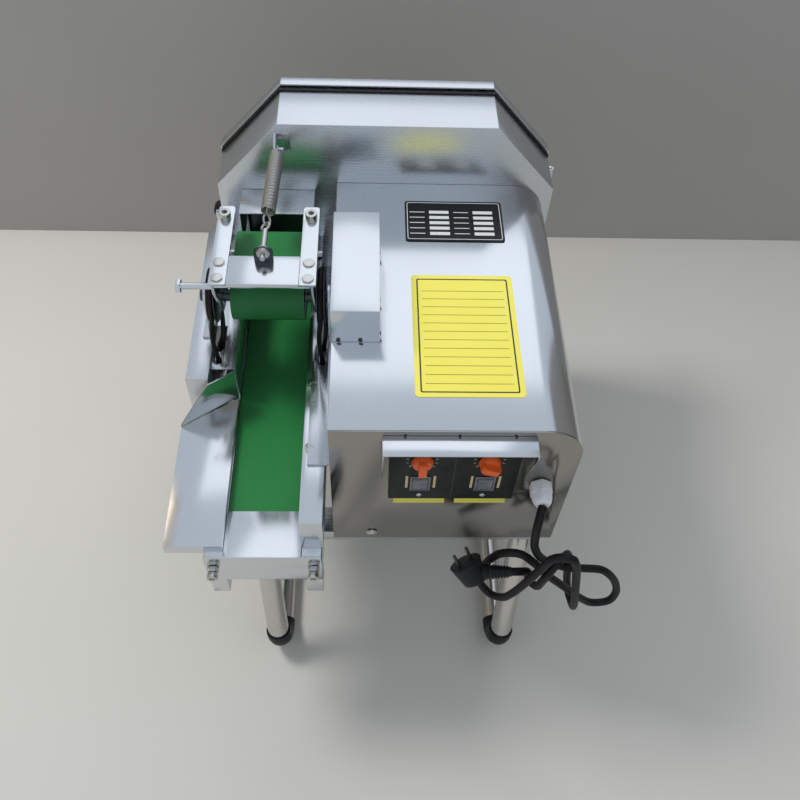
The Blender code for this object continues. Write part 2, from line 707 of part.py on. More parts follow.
def make_housing():
    outline = octagon(HOUSING_HALF, HOUSING_CORNER_X, HOUSING_CORNER_Z)
    wall = SHEET
    slimmer = wall * 0.58
    inside = octagon(HOUSING_HALF - wall, HOUSING_CORNER_X - slimmer, HOUSING_CORNER_Z - slimmer)
    housing = prism("cutter_housing", outline, "Y", HOUSING_FRONT, HOUSING_BACK)
    hollow = prism("cut_housing_inside", inside, "Y", HOUSING_FRONT + wall, HOUSING_BACK + 0.01)
    outlet_half = HOUSING_HALF - HOUSING_CORNER_X - OUTLET_MARGIN
    outlet = block(
        "cut_outlet", (HOUSING_X - outlet_half, HOUSING_X + outlet_half),
        (HOUSING_FRONT + wall + OUTLET_MARGIN, HOUSING_BACK - OUTLET_MARGIN),
        (HOUSING_Z - HOUSING_HALF - 0.01, HOUSING_Z - HOUSING_HALF + 0.01),
    )
    mouth = block(
        "cut_mouth", (CHANNEL_X - MOUTH_HALF, CHANNEL_X + MOUTH_HALF),
        (HOUSING_FRONT - 0.01, HOUSING_FRONT + 0.01),
        (BELT_LEVEL + 0.001, MOUTH_TOP),
    )
    shaft_hole = rod(
        "cut_cutter_shaft_hole", "Y", (HOUSING_X, HOUSING_Z), BEARING_NECK + GAP,
        HOUSING_FRONT - 0.01, HOUSING_FRONT + 0.01,
    )
    lug = prism(
        "join_screw_lug",
        rectangle(HAND_SCREW_X - LUG_REACH, HOUSING_X - HOUSING_HALF + 0.0008, HOUSING_Z - LUG_HALF,
                  HOUSING_Z + LUG_HALF),
        "Y", HOUSING_BACK - LUG_THICKNESS - 0.001, HOUSING_BACK,
    )
    slot = block(
        "cut_screw_slot", (HAND_SCREW_X - 0.02, HAND_SCREW_X + SCREW_SLOT_HALF),
        (HOUSING_BACK - 0.01, HOUSING_BACK + 0.01), (HOUSING_Z - SCREW_SLOT_HALF, HOUSING_Z + SCREW_SLOT_HALF),
    )
    join(housing, lug)
    cut(housing, hollow, outlet, mouth, shaft_hole, slot)

    hood_outer = rectangle(
        CHANNEL_X - HOOD_HALF, CHANNEL_X + HOOD_HALF, MOUTH_TOP - HOOD_RISE, MOUTH_TOP + HOOD_RISE
    )
    hood = prism("mouth_hood", hood_outer, "Y", HOUSING_FRONT - HOOD_REACH, HOUSING_FRONT - GAP)
    under = block(
        "cut_mouth_hood_inside", (CHANNEL_X - HOOD_HALF + SHEET, CHANNEL_X + HOOD_HALF - SHEET),
        (HOUSING_FRONT - HOOD_REACH - 0.01, HOUSING_FRONT + 0.01),
        (MOUTH_TOP - HOOD_RISE - 0.01, MOUTH_TOP + HOOD_RISE - SHEET),
    )
    cut(hood, under)

    corner_x, corner_z = HOUSING_CORNER_X + LID_OVERHANG, HOUSING_CORNER_Z + LID_OVERHANG
    lid_outline = octagon(LID_HALF, corner_x, corner_z)
    lid_inside = octagon(LID_HALF - wall, corner_x - slimmer, corner_z - slimmer)
    lid = prism("housing_lid", lid_outline, "Y", LID_FRONT, LID_BACK)
    lid_hollow = prism("cut_lid_inside", lid_inside, "Y", LID_FRONT - 0.01, LID_BACK - wall)
    lid_lug = prism(
        "join_lid_lug",
        rectangle(HAND_SCREW_X - LUG_REACH, HOUSING_X - LID_HALF + 0.0008, HOUSING_Z - LUG_HALF, HOUSING_Z + LUG_HALF),
        "Y", LID_FRONT, LID_FRONT + LUG_THICKNESS,
    )
    lid_hole = rod(
        "cut_lid_screw_hole", "Y", (HAND_SCREW_X, HOUSING_Z), HAND_SCREW_RADIUS + RUNNING,
        LID_FRONT - 0.01, LID_FRONT + 0.01, steps=24,
    )
    join(lid, lid_lug)
    cut(lid, lid_hollow, lid_hole)
    knuckles = []
    for i, z in enumerate(HINGE_HEIGHTS):
        low, high = z + HINGE_HALF + GAP, z + HINGE_HALF + GAP + KNUCKLE_LENGTH
        barrel = rod(f"join_knuckle_{i}", "Z", (HINGE_X, HOUSING_BACK), HINGE_RADIUS, low, high, steps=16)
        strap = block(
            f"join_strap_{i}", (HOUSING_X + LID_HALF - 0.0006, HINGE_X), (LID_FRONT, LID_FRONT + HINGE_STRAP),
            (low, high),
        )
        knuckles += [barrel, strap]
    join(lid, *knuckles)
    bores = [
        rod(f"cut_lid_knuckle_{i}", "Z", (HINGE_X, HOUSING_BACK), HINGE_PIN + RUNNING, z, z + 0.04, steps=16)
        for i, z in enumerate(HINGE_HEIGHTS)
    ]
    cut(lid, *bores)

    leaf_start = HOUSING_X + HOUSING_HALF + GAP
    for i, z in enumerate(HINGE_HEIGHTS):
        low, high = z - HINGE_HALF, z + HINGE_HALF
        leaf = block(
            f"lid_hinge_{i + 1}", (leaf_start, leaf_start + HINGE_LEAF),
            (HOUSING_BACK - HINGE_LEAF_REACH, HOUSING_BACK + 0.0001), (low, high),
        )
        web = block(
            f"join_hinge_web_{i}", (leaf_start, HINGE_X), (HOUSING_BACK - HINGE_STRAP, HOUSING_BACK), (low, high)
        )
        barrel = rod(f"join_hinge_barrel_{i}", "Z", (HINGE_X, HOUSING_BACK), HINGE_RADIUS, low, high, steps=16)
        pin = rod(
            f"join_hinge_pin_{i}", "Z", (HINGE_X, HOUSING_BACK), HINGE_PIN, low - 0.002,
            high + KNUCKLE_LENGTH + 0.0018, steps=16,
        )
        join(leaf, web, barrel, pin)

    screw = turned(
        "lid_hand_screw",
        [
            (0, LID_BACK + HAND_SCREW_OUT),
            (HAND_KNOB_RADIUS * 0.75, LID_BACK + HAND_SCREW_OUT),
            (HAND_KNOB_RADIUS, LID_BACK + HAND_SCREW_OUT - 0.0020),
            (HAND_KNOB_RADIUS, LID_FRONT + 0.0090),
            (HAND_KNOB_RADIUS * 0.6, LID_FRONT + 0.0080),
            (HAND_KNOB_RADIUS * 0.6, LID_FRONT + LUG_THICKNESS + GAP),
            (HAND_SCREW_RADIUS, LID_FRONT + LUG_THICKNESS + GAP),
            (HAND_SCREW_RADIUS, HOUSING_BACK - 0.0100),
            (0, HOUSING_BACK - 0.0100),
        ],
        "Y", (HAND_SCREW_X, HOUSING_Z), "black_plastic", 20,
    )
    origin_on(screw, (HAND_SCREW_X, LID_FRONT, HOUSING_Z))


def make_cutter():
    """The disc turns just behind the plate; each blade stands over a slot that passes the slices."""
    back_of_plate = HOUSING_FRONT + SHEET
    blade_front = back_of_plate + DISC_CLEARANCE
    disc_front = blade_front + BLADE_THICKNESS + GAP
    disc_back = disc_front + DISC_THICKNESS
    hub_back = disc_back + HUB_LENGTH
    bore = CUTTER_SHAFT_RADIUS + 0.0002
    centre = (HOUSING_X, HOUSING_Z)
    disc = turned(
        "blade_disc",
        [
            (bore, disc_front), (DISC_RADIUS - 0.002, disc_front), (DISC_RADIUS, disc_front + 0.002),
            (DISC_RADIUS, disc_back - 0.001), (DISC_RADIUS - 0.001, disc_back), (HUB_RADIUS + 0.004, disc_back),
            (HUB_RADIUS, disc_back + 0.004), (HUB_RADIUS, hub_back), (bore, hub_back),
        ],
        "Y", centre, "brushed_steel", 40,
    )
    blade_outer = DISC_RADIUS - BLADE_RIM
    for i in (0, 1):
        turn = pi * i + radians(25)
        windows = prism(
            f"cut_slice_slot_{i}", blade_shape(turn, BLADE_INNER + 0.004, DISC_RADIUS - 0.014, -0.020, 0.0020),
            "Y", disc_front - 0.01, disc_back + 0.01,
        )
        cut(disc, windows)
        blade = prism(
            f"blade_{i + 1}",
            blade_shape(turn, BLADE_INNER, blade_outer, -BLADE_EDGE, BLADE_WIDTH - BLADE_EDGE),
            "Y", blade_front, blade_front + BLADE_THICKNESS, "polished_steel",
        )
        screw_holes = [
            rod(
                f"cut_blade_screw_{i}_{k}", "Y",
                blade_point(turn, BLADE_INNER + (blade_outer - BLADE_INNER) * share, BLADE_WIDTH / 2),
                BLADE_SCREW_RADIUS, blade_front - 0.001, blade_front + 0.0015, steps=12,
            )
            for k, share in enumerate(BLADE_SCREW_SHARES)
        ]
        cut(blade, *screw_holes)
        origin_on(blade, (HOUSING_X, blade_front, HOUSING_Z))
    origin_on(disc, (HOUSING_X, disc_front, HOUSING_Z))

    nut = prism(
        "join_disc_nut", hexagon(centre, HUB_NUT), "Y", hub_back + GAP,
        hub_back + GAP + HUB_NUT_THICKNESS, "polished_steel",
    )
    shaft = turned(
        "cutter_shaft",
        [
            (0, CUTTER_MOTOR_BACK + GAP), (CUTTER_SHAFT_RADIUS - 0.001, CUTTER_MOTOR_BACK + GAP),
            (CUTTER_SHAFT_RADIUS, CUTTER_MOTOR_BACK + 0.0015),
            (CUTTER_SHAFT_RADIUS, hub_back + HUB_NUT_THICKNESS + 0.0030),
            (CUTTER_SHAFT_RADIUS - 0.0015, hub_back + HUB_NUT_THICKNESS + 0.0045),
            (0, hub_back + HUB_NUT_THICKNESS + 0.0045),
        ],
        "Y", centre,
    )
    join(shaft, nut)
    origin_on(shaft, (HOUSING_X, CUTTER_MOTOR_BACK, HOUSING_Z))

    bearing_in = CUTTER_SHAFT_RADIUS + RUNNING
    turned(
        "cutter_bearing",
        [
            (bearing_in, CABINET_LENGTH - BEARING_DEPTH), (BEARING_BODY, CABINET_LENGTH - BEARING_DEPTH),
            (BEARING_FLANGE, CABINET_LENGTH - BEARING_STEP), (BEARING_FLANGE, CABINET_LENGTH),
            (BEARING_NECK, CABINET_LENGTH),
            (BEARING_NECK, HOUSING_FRONT + SHEET + 0.0012), (bearing_in, HOUSING_FRONT + SHEET + 0.0012),
        ],
        "Y", centre, "motor_paint",
    )
    motor = turned(
        "cutter_motor",
        [
            (0, CUTTER_MOTOR_FRONT), (BEARING_BODY, CUTTER_MOTOR_FRONT),
            (CUTTER_MOTOR_RADIUS - 0.003, CUTTER_MOTOR_FRONT + 0.004),
            (CUTTER_MOTOR_RADIUS, CUTTER_MOTOR_FRONT + 0.012), (CUTTER_MOTOR_RADIUS, CUTTER_MOTOR_BACK - 0.012),
            (CUTTER_MOTOR_RADIUS - 0.003, CUTTER_MOTOR_BACK - 0.004), (BEARING_BODY, CUTTER_MOTOR_BACK),
            (0, CUTTER_MOTOR_BACK),
        ],
        "Y", centre, "motor_paint",
    )
    feet = block(
        "join_cutter_motor_feet",
        (HOUSING_X - CUTTER_MOTOR_RADIUS * 0.84, HOUSING_X + CUTTER_MOTOR_RADIUS * 0.84),
        (CUTTER_MOTOR_FRONT + 0.020, CUTTER_MOTOR_BACK - 0.015),
        (GROUND_CLEARANCE + PLATE + GAP, HOUSING_Z - CUTTER_MOTOR_RADIUS * 0.66), "motor_paint",
    )
    join(motor, feet)


def blade_point(turn, radius, across):
    """A point on the disc's face: radius out along the blade's line, and a distance across it."""
    x = HOUSING_X + radius * cos(turn) - across * sin(turn)
    z = HOUSING_Z + radius * sin(turn) + across * cos(turn)
    return (x, z)


def blade_shape(turn, inner, outer, edge, back):
    """A blade or slot that sweeps back in a shallow curve from hub to rim."""
    count = 9
    front_edge = []
    back_edge = []
    for i in range(count):
        share = i / (count - 1)
        radius = inner + (outer - inner) * share
        lean = BLADE_BOW * sin(pi * share)
        front_edge.append(blade_point(turn, radius, edge - lean))
        back_edge.append(blade_point(turn, radius, back - lean * 0.3))
    return front_edge + list(reversed(back_edge))


def belt_loop(name, x, width, start, end, radius, thickness, finish):
    """A flat belt round two equal rollers: a stadium with a stadium hole, extruded across."""

    def stadium(r):
        points = []
        for i in range(13):
            turn = pi / 2 + pi * i / 12
            points.append((start[0] + r * cos(turn), start[1] + r * sin(turn)))
        for i in range(13):
            turn = -pi / 2 + pi * i / 12
            points.append((end[0] + r * cos(turn), end[1] + r * sin(turn)))
        return points

    belt = prism(name, stadium(radius + thickness), "X", x - width / 2, x + width / 2, finish, smooth=True)
    inside = prism(f"cut_{name}", stadium(radius + GAP), "X", x - width / 2 - 0.01, x + width / 2 + 0.01)
    cut(belt, inside)
    return belt


def roller(name, centre, radius, half_face, left_end, right_end, finish="polished_steel", extra=()):
    """A roller with its shaft in one piece; extra holds (radius, x) steps beyond the left end."""
    low, high = CHANNEL_X - half_face, CHANNEL_X + half_face
    profile = [(0, left_end), (ROLLER_SHAFT_RADIUS, left_end)]
    profile += list(extra)
    profile += [
        (ROLLER_SHAFT_RADIUS, low), (radius - 0.001, low), (radius, low + 0.001),
        (radius, high - 0.001), (radius - 0.001, high), (ROLLER_SHAFT_RADIUS, high),
        (ROLLER_SHAFT_RADIUS, right_end), (0, right_end),
    ]
    piece = turned(name, profile, "X", centre, finish)
    origin_on(piece, (CHANNEL_X, centre[0], centre[1]))
    return piece


def make_conveyor():
    wall = CONVEYOR_WALL
    for side, inner, outer in (("left", CHANNEL_LEFT, CONVEYOR_LEFT), ("right", CHANNEL_RIGHT, CONVEYOR_RIGHT)):
        step = -1 if side == "left" else 1
        web = inner + step * wall
        outline = [
            (inner, CONVEYOR_BOTTOM), (outer, CONVEYOR_BOTTOM), (outer, CONVEYOR_BOTTOM + CONVEYOR_LIP),
            (outer - step * wall, CONVEYOR_BOTTOM + CONVEYOR_LIP), (outer - step * wall, CONVEYOR_BOTTOM + wall),
            (web, CONVEYOR_BOTTOM + wall), (web, BELT_LEVEL - wall),
            (outer, BELT_LEVEL - wall), (outer, BELT_LEVEL), (inner, BELT_LEVEL),
        ]
        rail = prism(f"conveyor_side_{side}", outline, "Y", CONVEYOR_FRONT + GAP, HOUSING_FRONT - GAP)
        low, high = sorted((web + step * 0.0001, outer))
        foot = block(
            f"join_foot_{side}", (low, high), (CONVEYOR_FRONT + GAP, CONVEYOR_FRONT + FOOT_LENGTH),
            (FOOT_BOTTOM, CONVEYOR_BOTTOM + 0.0010),
        )
        join(rail, foot)
        for end, y in (("front", FRONT_ROLLER_Y), ("drive", DRIVE_ROLLER_Y)):
            hole = rod(
                f"cut_{end}_shaft_{side}", "X", (y, ROLLER_Z), ROLLER_SHAFT_RADIUS + RUNNING,
                min(inner, outer) - 0.01, max(inner, outer) + 0.01, steps=24,
            )
            cut(rail, hole)

    half_face = CHANNEL_WIDTH / 2 - ROLLER_END_PLAY
    roller("front_roller", (FRONT_ROLLER_Y, ROLLER_Z), ROLLER_RADIUS, half_face,
           CONVEYOR_LEFT + 0.006, CONVEYOR_RIGHT - 0.006)
    sprocket_x = (DRIVE_GUARD_LEFT + DRIVE_GUARD_RIGHT) / 2
    roller(
        "drive_roller", (DRIVE_ROLLER_Y, ROLLER_Z), ROLLER_RADIUS, half_face,
        sprocket_x - 0.005, CONVEYOR_RIGHT - 0.006,
        extra=[
            (ROLLER_SHAFT_RADIUS, sprocket_x - 0.0015), (SPROCKET_RADIUS, sprocket_x - 0.0015),
            (SPROCKET_RADIUS, sprocket_x + 0.0015), (ROLLER_SHAFT_RADIUS, sprocket_x + 0.0015),
        ],
    )
    belt_loop(
        "conveyor_belt", CHANNEL_X, BELT_WIDTH, (FRONT_ROLLER_Y, ROLLER_Z), (DRIVE_ROLLER_Y, ROLLER_Z),
        ROLLER_RADIUS, BELT_THICKNESS, "green_belt",
    )
    bed_low = ROLLER_Z - ROLLER_RADIUS + 0.004
    block(
        "belt_bed", (CHANNEL_LEFT + GAP, CHANNEL_RIGHT - GAP),
        (FRONT_ROLLER_Y + ROLLER_RADIUS + 0.004, DRIVE_ROLLER_Y - ROLLER_RADIUS - 0.004),
        (bed_low, BELT_LEVEL - BELT_THICKNESS - GAP),
    )

    cover_outline = [
        (CONVEYOR_FRONT - SHEET, CONVEYOR_BOTTOM), (CONVEYOR_FRONT, CONVEYOR_BOTTOM),
        (CONVEYOR_FRONT, BELT_LEVEL + GAP), (COVER_PLATE_BACK, BELT_LEVEL + GAP),
        (COVER_PLATE_BACK, BELT_LEVEL + GAP + SHEET), (CONVEYOR_FRONT - SHEET, BELT_LEVEL + GAP + SHEET),
    ]
    cover = prism("front_cover", cover_outline, "X", CONVEYOR_LEFT, CONVEYOR_RIGHT)
    notch_left = block(
        "cut_cover_left", (CONVEYOR_LEFT - 0.01, CHANNEL_LEFT), (CONVEYOR_FRONT + GAP, 0.0),
        (BELT_LEVEL - 0.01, BELT_LEVEL + 0.01),
    )
    notch_right = block(
        "cut_cover_right", (CHANNEL_RIGHT, CONVEYOR_RIGHT + 0.01), (CONVEYOR_FRONT + GAP, 0.0),
        (BELT_LEVEL - 0.01, BELT_LEVEL + 0.01),
    )
    cut(cover, notch_left, notch_right)
    for i, x in enumerate((CONVEYOR_LEFT + TENSION_BOLT_IN, CONVEYOR_RIGHT - TENSION_BOLT_IN)):
        name = "left" if i == 0 else "right"
        tension_bolt(f"tension_bolt_{name}", x)
        hole = rod(
            f"cut_tension_hole_{name}", "Y", (x, TENSION_BOLT_Z), TENSION_BOLT_RADIUS + RUNNING,
            CONVEYOR_FRONT - 0.01, CONVEYOR_FRONT + 0.01, steps=16,
        )
        cut(cover, hole)


def tension_bolt(name, x):
    """A socket bolt with a lock nut that pulls the front roller's bearing to tension the belt."""
    front = CONVEYOR_FRONT - SHEET
    bolt = turned(
        name,
        [
            (0, front - TENSION_BOLT_OUT), (BOLT_HEAD * 0.9, front - TENSION_BOLT_OUT),
            (BOLT_HEAD, front - TENSION_BOLT_OUT + 0.0008),
            (BOLT_HEAD, front - 0.0064), (TENSION_BOLT_RADIUS, front - 0.0064),
            (TENSION_BOLT_RADIUS, FRONT_ROLLER_Y - ROLLER_SHAFT_RADIUS - 0.0006),
            (0, FRONT_ROLLER_Y - ROLLER_SHAFT_RADIUS - 0.0006),
        ],
        "Y", (x, TENSION_BOLT_Z), "polished_steel", 16,
    )
    nut = prism(
        f"join_{name}_nut", hexagon((x, TENSION_BOLT_Z), TENSION_NUT), "Y", front - 0.0052, front - GAP,
        "polished_steel",
    )
    socket = prism(
        f"cut_{name}_socket", hexagon((x, TENSION_BOLT_Z), SOCKET), "Y", front - 0.0140, front - 0.0090
    )
    join(bolt, nut)
    cut(bolt, socket)
    return bolt


def make_feed_table():
    """Left of the belt: the table that food is laid on, the slanting guide and the drive's guard."""
    table_right = CHANNEL_LEFT - GAP
    outline = [
        (TABLE_LEFT, CONVEYOR_FRONT + 0.002), (table_right, CONVEYOR_FRONT + 0.002),
        (table_right, GUIDE_BACK - 0.001), (TABLE_LEFT, GUIDE_FRONT - 0.001),
    ]
    table = prism("feed_table", outline, "Z", TABLE_TOP - FLANGE, TABLE_TOP)
    hollow = prism(
        "cut_table_inside",
        [
            (TABLE_LEFT + SHEET, CONVEYOR_FRONT + 0.002 + SHEET),
            (table_right + 0.01, CONVEYOR_FRONT + 0.002 + SHEET),
            (table_right + 0.01, GUIDE_BACK + 0.02), (TABLE_LEFT + SHEET, GUIDE_BACK + 0.02),
        ],
        "Z", TABLE_TOP - FLANGE - 0.01, TABLE_TOP - SHEET,
    )
    cut(table, hollow)
    inner_flange = prism(
        "join_table_flange",
        [(table_right - SHEET, BELT_LEVEL + GAP), (table_right, BELT_LEVEL + GAP), (table_right, TABLE_TOP),
         (table_right - SHEET, TABLE_TOP)],
        "Y", CONVEYOR_FRONT + 0.004, GUIDE_FRONT,
    )
    join(table, inner_flange)

    run = CHANNEL_LEFT - TABLE_LEFT - GAP
    rise = GUIDE_BACK - GUIDE_FRONT
    length = hypot(run, rise)
    lean = atan2(rise, run)
    top_start = (DRIVE_GUARD_RIGHT - TABLE_LEFT) / cos(lean)
    outline = [(0, BELT_LEVEL + GAP), (length, BELT_LEVEL + GAP), (length, GUARD_TOP + 0.004),
               (top_start, GUARD_TOP + 0.004), (0, TABLE_TOP + 0.002)]
    guide = prism("guide_plate", outline, "Y", 0, SHEET)
    guide.data.transform(Matrix.Rotation(lean, 4, "Z"))
    guide.location = (TABLE_LEFT, GUIDE_FRONT, 0)

    guard = block(
        "drive_guard", (DRIVE_GUARD_LEFT, DRIVE_GUARD_RIGHT), (DRIVE_GUARD_FRONT, HOUSING_FRONT - GAP),
        (GUARD_BOTTOM, GUARD_TOP + GUARD_RISE),
    )
    hollow = block(
        "cut_guard_inside", (DRIVE_GUARD_LEFT + SHEET, DRIVE_GUARD_RIGHT - SHEET),
        (DRIVE_GUARD_FRONT + SHEET, HOUSING_FRONT - GAP - SHEET),
        (GUARD_BOTTOM - 0.01, GUARD_TOP + GUARD_RISE - SHEET),
    )
    idler_hole = rod(
        "cut_idler_hole", "X", (LOWER_PULLEY_Y, LOWER_PULLEY_Z), ROLLER_SHAFT_RADIUS + RUNNING,
        DRIVE_GUARD_LEFT + 0.01, DRIVE_GUARD_RIGHT + 0.01, steps=24,
    )
    roller_hole = rod(
        "cut_drive_roller_hole", "X", (DRIVE_ROLLER_Y, ROLLER_Z), ROLLER_SHAFT_RADIUS + RUNNING,
        DRIVE_GUARD_LEFT + 0.01, DRIVE_GUARD_RIGHT + 0.01, steps=24,
    )
    cut(guard, hollow, idler_hole, roller_hole)

    shelf_outline = [
        (CHANNEL_LEFT, BELT_LEVEL + GAP), (CHANNEL_LEFT, GUARD_TOP), (DRIVE_GUARD_RIGHT + GAP, GUARD_TOP),
        (DRIVE_GUARD_RIGHT + GAP, GUARD_TOP - SHEET), (CHANNEL_LEFT - SHEET, GUARD_TOP - SHEET),
        (CHANNEL_LEFT - SHEET, BELT_LEVEL + GAP),
    ]
    shelf = prism("side_shelf", shelf_outline, "Y", GUIDE_BACK + 0.007, HOUSING_FRONT - GAP)
    slot = prism(
        "cut_shelf_slot",
        slot_outline(LEFT_PULLEY_X, PULLEY_WIDTH / 2 + PULLEY_ROOM, SHELF_SLOT_FRONT, PRESS_AXIS_Y + 0.010),
        "Z", GUARD_TOP - 0.01, GUARD_TOP + 0.01,
    )
    cut(shelf, slot)


def slot_outline(x, half_width, front, back):
    """A slot with a round front end."""
    points = [(x - half_width, back), (x + half_width, back)]
    for i in range(9):
        turn = -pi * i / 8
        points.append((x + half_width * cos(turn), front + half_width + half_width * sin(turn)))
    return points


def make_rail():
    """Right of the belt: a folded rail, and the bracket on it that carries the press unit."""
    left, right = CHANNEL_RIGHT, CHANNEL_RIGHT + RAIL_WIDTH
    low = BELT_LEVEL + GAP
    outline = [
        (left, low), (left, GUARD_TOP), (right, GUARD_TOP), (right, GUARD_TOP - RAIL_LIP),
        (right - SHEET, GUARD_TOP - RAIL_LIP), (right - SHEET, GUARD_TOP - SHEET),
        (left + SHEET, GUARD_TOP - SHEET), (left + SHEET, low),
    ]
    rail = prism("side_rail", outline, "Y", RAIL_FRONT + SHEET - 0.0001, HOUSING_FRONT - GAP)
    end_wall = block("join_rail_front", (left, right), (RAIL_FRONT, RAIL_FRONT + SHEET), (low, GUARD_TOP))
    join(rail, end_wall)
    pulley_room = prism(
        "cut_rail_slot",
        slot_outline(RIGHT_PULLEY_X, PULLEY_WIDTH / 2 + PULLEY_ROOM, RAIL_SLOT_FRONT, HOUSING_FRONT + 0.05),
        "Z", GUARD_TOP - 0.020, GUARD_TOP + 0.01,
    )
    shaft_room = block(
        "cut_rail_side", (right - 0.005, right + 0.01), (RAIL_SLOT_FRONT, HOUSING_FRONT + 0.05),
        (GUARD_TOP - 0.05, GUARD_TOP + 0.01),
    )
    cut(rail, pulley_room, shaft_room)

    plate_low = GUARD_TOP + GAP
    bracket = block(
        "rail_bracket", (CHANNEL_RIGHT + BRACKET_INSET, BRACKET_RIGHT),
        (BRACKET_FRONT, PRESS_AXIS_Y + BRACKET_TAIL), (plate_low, plate_low + PLATE),
    )
    upright_x = RIGHT_PULLEY_X + PULLEY_WIDTH / 2 + UPRIGHT_GAP
    upright = prism(
        "join_right_upright", upright_outline(plate_low), "X", upright_x, upright_x + PLATE,
    )
    bore = rod(
        "cut_right_pivot", "X", (PRESS_AXIS_Y, PRESS_AXIS_Z), ROLLER_SHAFT_RADIUS + RUNNING, upright_x - 0.01,
        upright_x + 0.01, steps=24,
    )
    room = prism(
        "cut_bracket_slot",
        slot_outline(RIGHT_PULLEY_X, PULLEY_WIDTH / 2 + 0.0010, RAIL_SLOT_FRONT, PRESS_AXIS_Y + 0.03),
        "Z", plate_low - 0.01, plate_low + 0.0055,
    )
    slot_side = block(
        "cut_bracket_side", (CHANNEL_RIGHT, RIGHT_PULLEY_X),
        (RAIL_SLOT_FRONT + 0.006, PRESS_AXIS_Y + 0.04), (plate_low - 0.01, plate_low + 0.0055),
    )
    join(bracket, upright)
    cut(bracket, bore, room, slot_side)

    left_x = LEFT_PULLEY_X - PULLEY_WIDTH / 2 - UPRIGHT_GAP
    foot_low = GUARD_TOP + GUARD_RISE + GAP
    left_bracket = prism("pivot_bracket_left", upright_outline(foot_low), "X", left_x - PLATE, left_x)
    foot = block(
        "join_left_foot", (left_x - PLATE - 0.008, left_x - 0.0005), (PRESS_AXIS_Y - UPRIGHT_HALF, PRESS_AXIS_Y + UPRIGHT_HALF),
        (foot_low, foot_low + PLATE),
    )
    left_bore = rod(
        "cut_left_pivot", "X", (PRESS_AXIS_Y, PRESS_AXIS_Z), ROLLER_SHAFT_RADIUS + RUNNING, left_x - 0.02,
        left_x + 0.01, steps=24,
    )
    join(left_bracket, foot)
    cut(left_bracket, left_bore)


def upright_outline(low):
    """A bearing upright: straight sides with a round head on the press shaft's axis."""
    half = UPRIGHT_HALF
    points = [(PRESS_AXIS_Y - half, low), (PRESS_AXIS_Y + half, low)]
    for i in range(13):
        turn = pi * i / 12
        points.append((PRESS_AXIS_Y + half * cos(turn), PRESS_AXIS_Z + half * sin(turn)))
    return points


def pulley_profile(x, radius, groove):
    half = PULLEY_WIDTH / 2
    rim = radius + PULLEY_RIM
    return [
        (rim, x - half), (rim, x - half * 0.75), (radius - groove, x - half * 0.35),
        (radius - groove, x + half * 0.35), (rim, x + half * 0.75), (rim, x + half),
    ]


